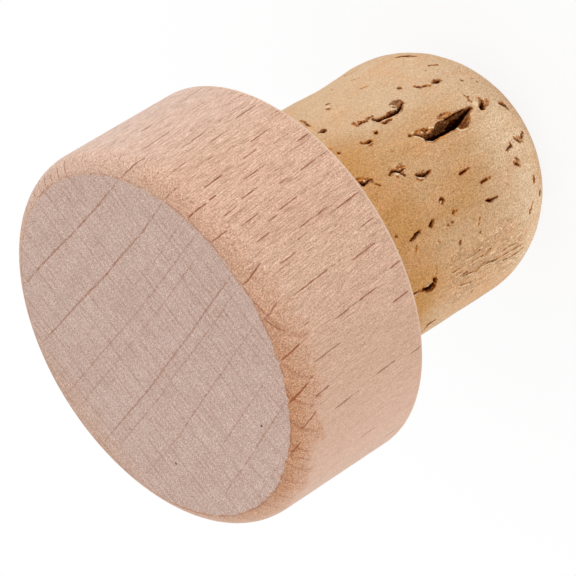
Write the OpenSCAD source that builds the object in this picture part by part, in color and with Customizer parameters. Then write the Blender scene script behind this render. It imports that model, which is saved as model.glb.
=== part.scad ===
// Bar-top bottle stopper: a turned beech head, glued onto a plug of natural cork.
// The stopper stands on the ground flat of its cork, with the head on top.
// Lengths are in millimetres and angles in degrees. The origin is the middle of the flat.

/* [Head] */
// Diameter of the turned head
head_d = 30; // [26:0.5:36]
// Height of the head, along the axis
head_h = 12.5; // [9:0.5:18]
// Radius of the round-over between the end-grain face and the side
edge_r = 1.9; // [1.5:0.1:4]
// Width of the round-over seen from above, less than its radius, so the face keeps a crisp rim
edge_w = 1.3; // [0.6:0.1:1.7]
// Width of the small arris broken off the lower rim
arris = 0.25; // [0.1:0.05:1]

/* [Cork] */
// Diameter of the cork below the head
cork_d = 19.8; // [17.5:0.1:22]
// Length of cork that stands out of the head
cork_len = 22.8; // [20:0.2:30]
// Radius that rounds off the end of the cork
end_r = 8; // [5:0.5:9]
// Diameter of the flat that is ground on the rounded end
foot_d = 10.5; // [5:0.5:15]

/* [Socket] */
// Depth of the blind socket turned in the underside of the head
socket_depth = 4; // [2.5:0.5:7]
// How much the cork is squeezed in diameter where it enters the socket
squeeze = 0.5; // [0.2:0.1:1.5]
// Clearance all round between the squeezed cork and the socket's wall
socket_gap = 0.1; // [0.05:0.05:0.4]
// Clearance all round between the full cork and the mouth of the socket, so the seat is clear
mouth_gap = 0.1; // [0.05:0.05:0.4]
// Chamfer round the glued end of the cork
seat_chamfer = 0.7; // [0.3:0.1:1.5]
// Thickness of the bed of glue on the socket's floor
glue_t = 0.3; // [0.1:0.1:1]
// Height to which the glue creeps up round the cork
glue_creep = 1.2; // [0.8:0.1:1.8]

/* [Marks on the cork] */
// Depth of the great crevice
crevice_depth = 2.2; // [1:0.1:4]
// Depth of the ledge on the lower side of the great crevice
ledge_depth = 0.9; // [0.4:0.1:1.5]
// Depth of the three-cornered hole near the head
hole_depth = 1.8; // [0.8:0.1:4]
// Number of pits scattered over the back of the cork
back_pits = 16; // [0:1:24]
// Length of the shallow dent in the cork's side
dent_len = 6.6; // [3:0.2:8]
// Depth of the dent at its middle
dent_depth = 0.22; // [0.1:0.02:0.4]

/* [Hidden] */
$fn = 128;

head_r = head_d / 2;
face_r = head_r - edge_w;
// The round-over is tangent to the side and meets the face at an angle
edge_drop = sqrt(pow(edge_r, 2) - pow(edge_r - edge_w, 2));

cork_r = cork_d / 2;
foot_r = foot_d / 2;
end_centre_r = cork_r - end_r;
// Height of the line where the straight side of the cork runs into its rounded end
end_z = sqrt(pow(end_r, 2) - pow(foot_r - end_centre_r, 2));
side_len = cork_len - end_z;

neck_r = cork_r - squeeze / 2;
neck_len = socket_depth - glue_t;
socket_r = neck_r + socket_gap;
mouth_r = max(socket_r, cork_r + mouth_gap);
glue_low_z = cork_len + socket_depth - glue_t - glue_creep;

// A cutter stands this far out of the skin that it cuts
proud = 1;
// A pit's outline is this much longer than the pit, so that its ends are blunt
pit_overrun = 1.2;

beech = [0.85, 0.70, 0.61];
natural_cork = [0.82, 0.66, 0.49];
dried_glue = [0.93, 0.89, 0.76];

// Pits and slits in the cork: [angle round the axis, distance below the head measured over
// the skin, length, width, lean]. A positive lean puts a pit's upper end at the larger angle
pits = [
    // A vein of pits on the upper side, the second largest mark
    [-13.5, 7.7, 1.0, 0.50, 0],
    [-14.6, 8.4, 1.1, 0.25, 8],
    [-17.2, 9.4, 1.3, 0.35, 30],
    [-18.4, 10.3, 1.5, 0.40, 5],
    [-16.4, 11.3, 1.5, 1.00, -20],
    [-20.6, 9.6, 0.9, 0.30, 0],
    // A crack further down the same vein
    [-14.2, 14.3, 0.9, 0.25, 40],
    [-15.3, 14.9, 0.7, 0.30, 10],
    [-16.0, 15.7, 0.8, 0.50, 0],
    // The tail of the great crevice, and a slit beside it
    [-32.9, 10.5, 1.6, 0.25, 25],
    [-32.8, 12.0, 1.4, 0.30, 0],
    [-39.6, 11.9, 1.1, 0.15, 5],
    // Below the great crevice and on the rounded end
    [-38.2, 17.1, 1.4, 0.80, -10],
    [-41.6, 20.0, 1.5, 0.65, 0],
    [-59.0, 17.0, 0.9, 0.40, 0],
    [-66.6, 17.1, 0.8, 0.55, 15],
    [-58.2, 19.2, 1.6, 0.45, 5],
    [-79.3, 18.9, 0.6, 0.50, 0],
    [-91.6, 17.6, 1.0, 0.45, 15],
    [9.5, 16.9, 1.3, 1.10, 20],
    // Down the middle of the side
    [-41.6, 7.1, 1.4, 0.40, 5],
    [-43.6, 7.2, 1.0, 0.25, 50],
    [-50.0, 8.9, 1.4, 0.40, 5],
    [-57.2, 12.3, 1.1, 0.30, 0],
    [-65.5, 13.6, 1.0, 0.22, -5],
    [-74.0, 13.4, 1.0, 0.30, 10],
    [-69.8, 5.6, 1.1, 0.35, -10],
    [-68.9, 7.5, 0.6, 0.40, -15],
    [-63.0, 9.1, 0.5, 0.40, 0],
    [-70.0, 9.8, 0.5, 0.35, 0],
    // Near the head, some of them cut off by its rim
    [-24.6, 6.9, 1.0, 0.45, 10],
    [-22.3, 8.2, 0.5, 0.40, 0],
    [-7.0, 5.2, 0.7, 0.50, 0],
    [-8.5, 13.0, 0.4, 0.40, 0],
    [-39.2, 4.1, 1.6, 0.70, 0],
    [-94.8, 4.9, 1.0, 0.30, 5],
];

// The pits on the back are spread by the golden ratio over this span of the skin:
// [first, last] angle, and [first, last] distance below the head
back_angles = [52, 216];
back_drops = [1.5, 19.5];
golden = 0.618034;

// Outlines of the larger marks, seen from outside the cork: [distance round it, height]
great_crevice = [
    [0.35, 2.2], [0.10, 2.3], [-0.20, 1.7], [-0.30, 0.6], [-0.35, -0.4], [-0.40, -1.5],
    [-0.10, -2.4], [0.25, -3.2], [0.50, -2.2], [0.60, -1.0], [0.65, 0], [0.40, 0.5],
];
ledge = [
    [-0.30, -0.5], [-0.55, -0.9], [-0.75, -1.1], [-0.60, -1.9], [-0.20, -2.6], [0.20, -3.0],
    [0, -1.5],
];
three_cornered_hole = [
    [0.10, 0.8], [-0.15, 0.4], [-0.55, -0.3], [-0.35, -0.55], [0.10, -0.65], [0.45, -0.4],
    [0.15, -0.1],
];
// Where those marks and the dent lie: [angle round the axis, distance below the head]
crevice_at = [-37, 13];
hole_at = [-95.5, 6.2];
dent_at = [37, 12.6];

// Fraction that steps evenly and without repeats as n counts up
function spread(n, step) = n * step - floor(n * step);
function between(span, share) = span[0] + (span[1] - span[0]) * share;

// Half section of the head, from the plane of its underside up
module head_profile() {
    difference() {
        union() {
            square([head_r, head_h - edge_drop]);
            square([face_r, head_h]);
            intersection() {
                translate([head_r - edge_r, head_h - edge_drop]) circle(edge_r);
                square([head_r, head_h]);
            }
        }
        polygon([[head_r - arris, 0], [head_r, arris], [head_r, 0]]);
        square([socket_r, socket_depth]);
        polygon([[0, 0], [mouth_r, 0], [socket_r, mouth_r - socket_r], [0, socket_depth]]);
    }
}

// Half section of the cork, from its foot up, with no marks
module cork_profile() {
    square([foot_r, cork_len]);
    translate([0, end_z]) square([cork_r, side_len]);
    intersection() {
        translate([end_centre_r, end_z]) circle(end_r);
        square([cork_r, end_z]);
    }
    translate([0, cork_len]) polygon([
        [0, 0],
        [neck_r, 0],
        [neck_r, neck_len - seat_chamfer],
        [neck_r - seat_chamfer, neck_len],
        [0, neck_len],
    ]);
}

// Half section of the glue: what the cork leaves free at the bottom of the socket
module glue_profile() {
    difference() {
        translate([0, glue_low_z]) square([socket_r, glue_t + glue_creep]);
        cork_profile();
    }
}

// Moves its children onto the skin of the cork: x points out of it, y runs round it and z
// runs up towards the head. Past the straight side they follow the rounded end.
module on_skin(angle, below_head) {
    turn = max(0, below_head - side_len) / end_r * 180 / PI;
    rotate([0, 0, angle])
        translate([end_centre_r, 0, cork_len - min(below_head, side_len)])
        rotate([0, turn, 0])
        translate([end_r, 0, 0])
        children();
}

// Cutter that sinks a flat outline into the skin, square to it
module sink(depth) {
    rotate([90, 0, 90])
        translate([0, 0, -depth])
        linear_extrude(depth + proud)
        children();
}

// Lens shape between two equal arcs, standing upright
module lens(length, width) {
    arc_r = (pow(length, 2) + pow(width, 2)) / (4 * width);
    intersection() {
        translate([width / 2 - arc_r, 0]) circle(arc_r);
        translate([arc_r - width / 2, 0]) circle(arc_r);
    }
}

// Boat-shaped pit, half as deep as it is long, with its keel rounded from end to end
module pit(length, width, lean) {
    rotate([-lean, 0, 0]) intersection() {
        rotate([90, 0, 0]) cylinder(h = 2 * width, d = length, center = true);
        sink(length) lens(length * pit_overrun, width);
    }
}

// Pits on the back, one for each number from 1 up, of mixed lengths
module back_pit(n) {
    length = between([0.5, 1.3], spread(n, golden * 3));
    on_skin(
        between(back_angles, spread(n, golden)),
        between(back_drops, (n - 0.5) / back_pits)
    )
        pit(length, length * 0.4, between([-15, 15], spread(n, golden * 5)));
}

// Ball that leaves the shallow dent, as wide as the cork's curve allows
module dent() {
    ball_r = (pow(dent_len / 2, 2) + pow(dent_depth, 2)) / (2 * dent_depth);
    translate([ball_r - dent_depth, 0, 0]) sphere(ball_r);
}

module wooden_head() {
    color(beech)
        translate([0, 0, cork_len])
        rotate_extrude()
        head_profile();
}

module cork_plug() {
    color(natural_cork) difference() {
        rotate_extrude() cork_profile();
        for (p = pits) on_skin(p[0], p[1]) pit(p[2], p[3], p[4]);
        for (n = [1:1:back_pits]) back_pit(n);
        on_skin(crevice_at[0], crevice_at[1]) {
            sink(crevice_depth) polygon(great_crevice);
            sink(ledge_depth) polygon(ledge);
        }
        on_skin(hole_at[0], hole_at[1]) sink(hole_depth) polygon(three_cornered_hole);
        on_skin(dent_at[0], dent_at[1]) dent();
    }
}

module glue_bed() {
    color(dried_glue) rotate_extrude() glue_profile();
}

wooden_head();
cork_plug();
glue_bed();
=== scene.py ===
"""Bar-top bottle stopper: a turned beech head, glued onto a plug of natural cork.

The stopper stands on the ground foot of its cork with the head on top. Sizes are in
millimetres and angles in degrees, measured round the upright axis from +X, until a mesh is
written, which is in metres. A place on a turned skin is given by its angle round the axis
and its drop, the distance over the skin from the head's underside (cork) or from the middle
of the end-grain face (head).
"""

import functools
import itertools
import logging
import math
from abc import ABC, abstractmethod
from collections.abc import Sequence
from dataclasses import dataclass, field
from enum import Enum
from typing import ClassVar

import bmesh
import bpy
import numpy as np
from mathutils import Matrix, Vector


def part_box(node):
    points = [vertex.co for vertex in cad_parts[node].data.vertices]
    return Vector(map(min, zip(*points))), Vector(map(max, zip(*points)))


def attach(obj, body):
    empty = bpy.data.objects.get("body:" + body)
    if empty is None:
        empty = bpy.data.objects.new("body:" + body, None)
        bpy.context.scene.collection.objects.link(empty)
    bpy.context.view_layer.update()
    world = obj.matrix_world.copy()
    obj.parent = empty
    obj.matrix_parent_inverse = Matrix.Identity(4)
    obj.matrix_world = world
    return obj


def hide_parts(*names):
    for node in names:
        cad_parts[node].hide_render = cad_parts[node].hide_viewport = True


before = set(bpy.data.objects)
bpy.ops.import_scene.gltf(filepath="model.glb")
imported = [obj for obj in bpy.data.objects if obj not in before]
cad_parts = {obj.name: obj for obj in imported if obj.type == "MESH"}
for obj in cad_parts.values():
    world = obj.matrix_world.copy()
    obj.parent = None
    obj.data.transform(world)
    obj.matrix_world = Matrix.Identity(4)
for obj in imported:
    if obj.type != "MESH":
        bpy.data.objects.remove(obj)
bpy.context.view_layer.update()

log = logging.getLogger("stopper")

MM = 0.001
BODY = "root"
# Shares that step evenly and without repeats as they are counted up
GOLDEN = 0.618034
SECOND = 0.754878
THIRD = 0.569840
# Value that stands for "nowhere near" where distances in mm are compared
FAR = 1e9

Rows = tuple[tuple[float, ...], ...]
Table = tuple[tuple[object, ...], ...]
Colour = tuple[float, float, float, float]
Socket = bpy.types.NodeSocket


def srgb(red: float, green: float, blue: float) -> Colour:
    """Colour as a shader wants it.

    Args:
        red: Red as it is seen on a screen, 0 to 255.
        green: Green, likewise.
        blue: Blue, likewise.

    Returns:
        The linear colour with full alpha.
    """
    parts = [c / 255 for c in (red, green, blue)]
    linear = [c / 12.92 if c <= 0.04045 else ((c + 0.055) / 1.055) ** 2.4 for c in parts]
    return (*linear, 1.0)


def ease(value: np.ndarray, low: float, high: float) -> np.ndarray:
    """Smooth step.

    Args:
        value: Values to map.
        low: Value that maps to 0.
        high: Value that maps to 1, which may be the lower of the two.

    Returns:
        Values from 0 to 1.
    """
    share = np.clip((value - low) / (high - low), 0, 1)
    return share * share * (3 - 2 * share)


def span(node: str) -> tuple[float, float, float]:
    """Reads the size of a turned CAD node.

    Args:
        node: Name of the node.

    Returns:
        Its radius, and the heights of its lowest and highest point, in mm.
    """
    low, high = (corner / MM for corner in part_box(node))
    return round((high.x - low.x) / 2, 2), round(low.z, 2), round(high.z, 2)


@dataclass(frozen=True)
class Ripple:
    """Smooth random field in space, the same on every run.

    Attributes:
        seed: Number that picks the field.
        cell: Size of its lumps, in mm, along X, Y and Z.
        mixers: Large odd numbers that scramble the bits of a place, one for each of X, Y and
            Z, one for the seed and two for the steps that follow.
    """

    seed: int
    cell: tuple[float, float, float]
    mixers: ClassVar[tuple[int, ...]] = (
        73856093, 19349663, 83492791, 2654435761, 1274126177, 2246822519
    )

    def at(self, points: np.ndarray) -> np.ndarray:
        """Reads the field.

        Args:
            points: Places in mm, one row each.

        Returns:
            One value from -1 to 1 for each place.
        """
        scaled = points / np.array(self.cell)
        low = np.floor(scaled).astype(np.int64)
        share = ease(scaled - low, 0, 1)
        total = np.zeros(len(points))
        for corner in itertools.product((0, 1), repeat=3):
            weight = np.prod(np.where(corner, share, 1 - share), axis=1)
            total += weight * self._draw(low + np.array(corner))
        return total * 2 - 1

    def _draw(self, lattice: np.ndarray) -> np.ndarray:
        """Draws a random value for each corner of the lattice.

        Args:
            lattice: Whole-number places, one row each.

        Returns:
            One value from 0 to 1 for each.
        """
        *axes, of_seed, first, second = self.mixers
        mixed = lattice @ np.array(axes) + self.seed * of_seed
        mixed = (mixed ^ (mixed >> 13)) * first & 0xFFFFFFFF
        mixed = (mixed ^ (mixed >> 16)) * second & 0xFFFFFFFF
        return (mixed ^ (mixed >> 15)) / 0xFFFFFFFF


@dataclass(frozen=True)
class Places:
    """Places on a turned skin.

    Attributes:
        angle: Angle round the axis of each place.
        drop: Drop of each place.
        radius: Distance of each place from the axis.
    """

    angle: np.ndarray
    drop: np.ndarray
    radius: np.ndarray

    def some(self, where: np.ndarray) -> "Places":
        """The places with these indices."""
        return Places(self.angle[where], self.drop[where], self.radius[where])

    def moved(self, turn: np.ndarray, fall: float) -> "Places":
        """The same places, turned round the axis and moved down the skin."""
        return Places(self.angle + turn, self.drop + fall, self.radius)

    def seen_from(self, datum: Sequence[float]) -> tuple[np.ndarray, np.ndarray]:
        """Lays the places flat round a datum, as seen from outside with the head up.

        Args:
            datum: Angle and drop of the datum.

        Returns:
            Distance to the right of the datum and distance above it, in mm.
        """
        turn = (self.angle - datum[0] + 180) % 360 - 180
        return np.radians(turn) * self.radius, datum[1] - self.drop


@dataclass
class TurnedSkin:
    """Skin turned round the Z axis.

    Attributes:
        outline: Half section as (radius, height) points in mm, from the axis to the axis.
        datum: Index of the outline's point at which the drop is 0.
        runs: Drop of each of the outline's points.
        widest: Its largest radius.
    """

    outline: np.ndarray
    datum: int
    runs: np.ndarray = field(init=False)
    widest: float = field(init=False)

    def __post_init__(self) -> None:
        """Measures the outline."""
        steps = np.linalg.norm(np.diff(self.outline, axis=0), axis=1)
        self.runs = np.concatenate([[0], np.cumsum(steps)])
        self.runs -= self.runs[self.datum]
        self.widest = self.outline[:, 0].max()

    def places(self, angle: np.ndarray, drop: np.ndarray) -> Places:
        """Places on the skin at these angles and drops."""
        return Places(angle, drop, np.interp(drop, self.runs, self.outline[:, 0]))

    def points(self, places: Places) -> np.ndarray:
        """Finds places in space.

        Args:
            places: Places on the skin.

        Returns:
            One point in mm for each.
        """
        height = np.interp(places.drop, self.runs, self.outline[:, 1])
        turn, radius = np.radians(places.angle), places.radius
        return np.stack([radius * np.cos(turn), radius * np.sin(turn), height], axis=1)

    def outward(self, places: Places, reach: float = 0.02) -> np.ndarray:
        """Finds which way the skin faces.

        Args:
            places: Places on the skin.
            reach: How far above and below each place the slope is taken, in mm.

        Returns:
            One unit vector for each, square to the skin and pointing out of it.
        """
        below, above = (
            self.points(self.places(places.angle, places.drop + way)) for way in (reach, -reach)
        )
        turn = np.radians(places.angle)
        aside = np.stack([-np.sin(turn), np.cos(turn), np.zeros(len(turn))], axis=1)
        normal = np.cross(aside, above - below)
        return normal / np.maximum(np.linalg.norm(normal, axis=1, keepdims=True), 1e-9)


def arc(centre: tuple[float, float], radius: float, start: float, end: float) -> Rows:
    """Rounds off part of an outline.

    Args:
        centre: Middle of the arc, as (radius, height).
        radius: Radius of the arc.
        start: Direction of its first point, from straight outwards, upwards positive.
        end: Direction of its last point.

    Returns:
        Points about 1.5 degrees apart.
    """
    steps = max(3, round(abs(end - start) / 1.5))
    turns = np.radians(np.linspace(start, end, steps + 1))
    return tuple(
        (centre[0] + radius * math.cos(t), centre[1] + radius * math.sin(t)) for t in turns
    )


@dataclass
class Relief:
    """What is done to a skin at each of its places.

    Attributes:
        places: The places.
        points: Each place in mm.
        depth: How far each place is pushed in, in mm.
        layers: Masks from 0 to 1 that the material reads, by name.
    """

    places: Places
    points: np.ndarray
    depth: np.ndarray = field(init=False)
    layers: dict[str, np.ndarray] = field(default_factory=dict)

    def __post_init__(self) -> None:
        """Starts with an untouched skin."""
        self.depth = np.zeros(len(self.points))

    def lay(self, name: str, where: np.ndarray, mask: np.ndarray) -> None:
        """Lays a mask over part of a layer, the stronger of the two holding.

        Args:
            name: Name of the layer.
            where: Indices of the places.
            mask: Value at each of them.
        """
        layer = self.layers.setdefault(name, np.zeros(len(self.points)))
        layer[where] = np.maximum(layer[where], mask)

    def sink(self, where: np.ndarray, depth: np.ndarray) -> None:
        """Sinks part of the skin, the deeper of the two holding.

        Args:
            where: Indices of the places.
            depth: Depth in mm at each of them.
        """
        self.depth[where] = np.maximum(self.depth[where], depth)


def mark_value(inside: np.ndarray, strength: float, spread: float = 0.6) -> np.ndarray:
    """What a layer holds round a mark: its edge lies where a finish cuts the layer off.

    Args:
        inside: How far each place lies inside the mark, in mm.
        strength: How strong the mark is, from 0 to 1.
        spread: How slowly the value changes at the edge: the wider, the softer.

    Returns:
        0.5 at the mark's edge, less outside it, and up to 0.56 inside a strong one.
    """
    return np.clip(0.5 + inside / spread, 0, 0.46 + 0.1 * strength)


@dataclass(frozen=True)
class Look:
    """What a mark does to the cork.

    Attributes:
        deep: Its depth in mm.
        wall: Width in mm over which its walls slope down.
        core: How dark it is inside, from 0 to 1, partly as dark bark and partly as painted shade.
        rim: How far inside its edge the dark begins, in mm.
        bark: How brown it is, from 0 to 1.
        skirt: How far the brown reaches out of it, in mm.
        ash: How grey the brown is, from 0 to 1.
        pale: How pale it is, from 0 to 1.
        lip: How pale the painted highlight along its upper left side is, from 0 to 1.
    """

    deep: float = 0.0
    wall: float = 0.3
    core: float = 0.0
    rim: float = 0.02
    bark: float = 0.0
    skirt: float = 0.0
    ash: float = 0.0
    pale: float = 0.0
    lip: float = 0.0


class Tone(Enum):
    """Kinds of mark that natural cork has."""

    CORE = Look(deep=0.6, wall=0.25, core=1.0, rim=0.045, bark=1.0, skirt=0.08, lip=0.4)
    DEEP = Look(deep=2.2, wall=0.36, core=1.0, bark=1.0, skirt=0.1)
    DARK = Look(core=1.0, bark=1.0, skirt=0.05)
    PORE = Look(deep=0.2, core=0.5, bark=0.9, skirt=0.07, lip=0.3)
    BARK = Look(deep=0.1, bark=0.6, skirt=0.03)
    SMEAR = Look(deep=0.04, bark=0.3)
    ASH = Look(deep=0.1, bark=0.75, ash=1.0)
    PALE = Look(pale=0.8)
    # A fold's brown is painted shade in its groove, and its lip a painted highlight
    FOLD = Look(deep=0.1, wall=0.1, bark=0.35, lip=1.0)
    WALL = Look(deep=1.1, wall=0.6, core=0.2, bark=1.0, ash=0.8, lip=0.9)
    LEDGE = Look(deep=0.5, wall=0.4, bark=0.8, ash=0.35, lip=1.0)


@dataclass(frozen=True)
class Mark(ABC):
    """Mark in the cork's skin.

    Attributes:
        tone: What kind it is.
        margin: Distance round a mark that it still touches.
        wander: How far a mark's edge wanders.
        lip_shift: How far its lip, a painted highlight, lies beside it, as (to the left, up).
        cells: Smallest and largest size of the mesh cells that show a mark.
    """

    tone: Tone
    margin: ClassVar[float] = 0.25
    wander: ClassVar[float] = 0.035
    lip_shift: ClassVar[tuple[float, float]] = (0.09, 0.08)
    cells: ClassVar[tuple[float, float]] = (0.055, 0.085)

    @abstractmethod
    def box(self) -> tuple[np.ndarray, np.ndarray]:
        """Lowest and highest (angle, drop) of the mark."""

    @abstractmethod
    def inside(self, places: Places) -> np.ndarray:
        """How far each place lies inside the mark, in mm, negative outside it."""

    def cell(self) -> float:
        """Size of the mesh cells that show the mark."""
        return self.cells[1]

    def touched(self, places: Places) -> np.ndarray:
        """Finds the places that the mark touches.

        Args:
            places: Places to look through.

        Returns:
            Their indices.
        """
        low, high = self.box()
        (middle, level), (half, rise) = (low + high) / 2, (high - low) / 2
        reach = self.margin + self.cell()
        turn = np.abs((places.angle - middle + 180) % 360 - 180)
        close = turn < half + np.degrees(reach / np.maximum(places.radius, 2))
        close &= np.abs(places.drop - level) < rise + reach
        where = np.flatnonzero(close)
        return where[self.inside(places.some(where)) > -self.margin]

    def cut(self, relief: Relief, rough: np.ndarray) -> None:
        """Cuts the mark and lays its dark and brown colours.

        Args:
            relief: The skin that is cut.
            rough: Fine random field at each place, from -1 to 1.
        """
        look, where = self.tone.value, self.touched(relief.places)
        inside = self.inside(relief.places.some(where)) + rough[where] * self.wander
        relief.sink(where, look.deep * ease(inside, -0.04, look.wall))
        for name, mask, strength, spread in (
            ("void", inside - look.rim, look.core, 0.6),
            ("stain", inside + look.skirt, look.bark, 1.6),
            ("pale", inside, look.pale, 0.6),
        ):
            if strength:
                relief.lay(name, where, mark_value(mask, strength, spread))
        relief.lay("ash", where, look.ash * ease(inside, -0.15, -0.05))

    def lay_lip(self, relief: Relief, rough: np.ndarray) -> None:
        """Lays the pale lip, a painted highlight, along one side of the mark, once every mark is cut.

        Args:
            relief: The skin that the lip lies on.
            rough: Fine random field at each place, from -1 to 1.
        """
        if not self.tone.value.lip:
            return
        where = self.touched(relief.places)
        where = where[relief.depth[where] < 0.05]
        places, (left, up) = relief.places.some(where), self.lip_shift
        inside = self.inside(places) + rough[where] * self.wander
        # The lip, a painted highlight, is what lies in the mark once it is moved to the right and down
        beside = places.moved(np.degrees(left / np.maximum(places.radius, 1)), up)
        lip = np.minimum(self.inside(beside), -inside - 0.01)
        relief.lay("pale", where, mark_value(lip, self.tone.value.lip))


@dataclass(frozen=True)
class Stroke(Mark):
    """Mark along a line.

    Attributes:
        line: Points as (angle, drop, width).
        nearest: Nearest that a line comes to the axis, for the span of its width.
    """

    line: Rows
    nearest: ClassVar[float] = 5

    def box(self) -> tuple[np.ndarray, np.ndarray]:
        """Works out the span of the mark.

        Returns:
            Its lowest and highest (angle, drop).
        """
        line = np.array(self.line)
        half = line[:, 2:] / 2 * (math.degrees(1 / self.nearest), 1)
        return (line[:, :2] - half).min(axis=0), (line[:, :2] + half).max(axis=0)

    def cell(self) -> float:
        """Size of the mesh cells that show the mark, less than half its width."""
        return float(np.clip(0.45 * max(width for *_, width in self.line), *self.cells))

    def inside(self, places: Places) -> np.ndarray:
        """Measures from the line, which is as wide at each place as its points say.

        Args:
            places: Places on the skin.

        Returns:
            How far each lies inside the mark, in mm, negative outside it.
        """
        best = np.full(len(places.angle), -FAR)
        points = self.line if len(self.line) > 1 else self.line * 2
        for first, last in itertools.pairwise(points):
            aside, above = places.seen_from(first)
            reach = math.radians(last[0] - first[0]) * places.radius
            rise = first[1] - last[1]
            size = np.maximum(reach * reach + rise * rise, 1e-6)
            share = np.clip((aside * reach + above * rise) / size, 0, 1)
            away = np.hypot(aside - share * reach, above - share * rise)
            best = np.maximum(best, (first[2] + (last[2] - first[2]) * share) / 2 - away)
        return best


@dataclass(frozen=True)
class Hollow(Mark):
    """Mark with an outline of its own.

    Attributes:
        at: Angle and drop of its datum.
        outline: Corners as (distance to the right, distance up) from the datum, in mm.
        nearest: Nearest that an outline comes to the axis.
    """

    at: tuple[float, float]
    outline: Rows
    nearest: ClassVar[float] = 8

    def box(self) -> tuple[np.ndarray, np.ndarray]:
        """Lowest and highest (angle, drop) of the mark."""
        corners = np.array(self.at) + np.array(self.outline) * (math.degrees(1 / self.nearest), -1)
        return corners.min(axis=0), corners.max(axis=0)

    def inside(self, places: Places) -> np.ndarray:
        """Measures from the outline's nearest side.

        Args:
            places: Places on the skin.

        Returns:
            How far each lies inside the mark, in mm, negative outside it.
        """
        aside, above = places.seen_from(self.at)
        away = np.full(len(aside), FAR)
        within = np.zeros(len(aside), dtype=bool)
        for (x0, y0), (x1, y1) in itertools.pairwise((*self.outline, self.outline[0])):
            dx, dy = x1 - x0, y1 - y0
            share = np.clip(((aside - x0) * dx + (above - y0) * dy) / (dx * dx + dy * dy), 0, 1)
            away = np.minimum(away, np.hypot(aside - x0 - share * dx, above - y0 - share * dy))
            spans = (y0 > above) != (y1 > above)
            within ^= spans & (aside < x0 + (above - y0) * dx / (dy if dy else 1e-9))
        return np.where(within, away, -away)


class TurnedPiece(ABC):
    """Piece with a turned skin, meshed more finely where there is something to show.

    Attributes:
        datum: Index of the outline's point at which the drop is 0.
        coarse: Size of the plain mesh cells in mm.
        plain: Size of the cells wanted away from the marks, shown and hidden.
        seam: Angle at which the plain mesh starts and ends.
        passes: How many times its cells may be halved.
        least: Height of its lowest rows of cells, as a share of the coarse size.
        slack: How much longer than wanted a cell's edge may be, as a factor.
        weld: Distance in mm within which the vertices of the seam and the poles are joined.
    """

    datum: ClassVar[int]
    coarse: ClassVar[float]
    plain: ClassVar[tuple[float, float]]
    seam: ClassVar[float] = 130
    passes: ClassVar[int] = 3
    least: ClassVar[float] = 0.45
    slack: ClassVar[float] = 1.35
    weld: ClassVar[float] = 0.002

    @abstractmethod
    def outline(self) -> Rows:
        """Half section of the plain skin as (radius, height) points, from axis to axis."""

    @abstractmethod
    def wanted(self, places: Places) -> np.ndarray:
        """Size in mm of the mesh cells wanted at each place."""

    @abstractmethod
    def shape(self, relief: Relief) -> None:
        """Fills in what is done to the skin."""

    @functools.cached_property
    def skin(self) -> TurnedSkin:
        """The plain skin."""
        return TurnedSkin(np.array(self.outline(), dtype=float), self.datum)

    def turn(self, name: str) -> bpy.types.Object:
        """Turns the piece.

        Args:
            name: Name of the piece.

        Returns:
            The new object, with the layers of its relief as attributes.
        """
        work = self._grid()
        for _ in range(self.passes):
            self._halve(work)
        bmesh.ops.triangulate(work, faces=work.faces)
        mesh = bpy.data.meshes.new(name)
        work.to_mesh(mesh)
        work.free()
        self._wrap(mesh)
        self._close(mesh)
        piece = bpy.data.objects.new(name, mesh)
        bpy.context.scene.collection.objects.link(piece)
        return piece

    def _grid(self) -> bmesh.types.BMesh:
        """Lays out the plain grid.

        Returns:
            The flat grid in mm: X is the arc at the skin's largest radius, Y is the drop.
        """
        girth, runs = 2 * math.pi * self.skin.widest, self.skin.runs
        columns = round(girth / self.coarse)
        rows = [runs[0]]
        for low, high in itertools.pairwise(runs):
            steps = max(1, round((high - low) / self.coarse))
            if high - rows[-1] > self.coarse * self.least or high == runs[-1] or steps > 1:
                rows.extend(np.linspace(max(low, rows[-1]), high, steps + 1)[1:])
        work = bmesh.new()
        verts = [
            [work.verts.new((girth * c / columns, row, 0)) for c in range(columns + 1)]
            for row in rows
        ]
        for upper, lower in itertools.pairwise(verts):
            for c in range(columns):
                work.faces.new((upper[c], lower[c], lower[c + 1], upper[c + 1]))
        return work

    def _places(self, flat: np.ndarray) -> Places:
        """Places on the skin of points on the flat grid."""
        return self.skin.places(self.seam + np.degrees(flat[:, 0] / self.skin.widest), flat[:, 1])

    def _halve(self, work: bmesh.types.BMesh) -> None:
        """Halves each edge that is longer than its place wants.

        Args:
            work: The flat grid.
        """
        work.verts.index_update()
        flat = np.array([v.co for v in work.verts])
        ends = np.array([[v.index for v in e.verts] for e in work.edges])
        points = self.skin.points(self._places(flat))
        length = np.linalg.norm(points[ends[:, 0]] - points[ends[:, 1]], axis=1)
        long = length > self.wanted(self._places(flat[ends].mean(axis=1))) * self.slack
        bmesh.ops.subdivide_edges(
            work,
            edges=[e for e, cut in zip(work.edges, long, strict=True) if cut],
            cuts=1,
            use_grid_fill=True,
            use_single_edge=True,
        )

    def _wrap(self, mesh: bpy.types.Mesh) -> None:
        """Wraps the flat mesh round the axis and works its relief into it.

        Args:
            mesh: The flat mesh.
        """
        flat = np.empty(len(mesh.vertices) * 3)
        mesh.vertices.foreach_get("co", flat)
        places = self._places(flat.reshape(-1, 3))
        relief = Relief(places, self.skin.points(places))
        self.shape(relief)
        inward = self.skin.outward(places) * relief.depth[:, None]
        mesh.vertices.foreach_set("co", ((relief.points - inward) * MM).ravel())
        for name, values in relief.layers.items():
            layer = mesh.attributes.new(name, "FLOAT", "POINT")
            layer.data.foreach_set("value", values.astype(np.float32))

    def _close(self, mesh: bpy.types.Mesh) -> None:
        """Joins the seam and the poles, and turns the faces outwards.

        Args:
            mesh: The wrapped mesh.
        """
        work = bmesh.new()
        work.from_mesh(mesh)
        bmesh.ops.remove_doubles(work, verts=work.verts, dist=self.weld * MM)
        bmesh.ops.recalc_face_normals(work, faces=work.faces)
        for face in work.faces:
            face.smooth = True
        work.to_mesh(mesh)
        work.free()


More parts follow.
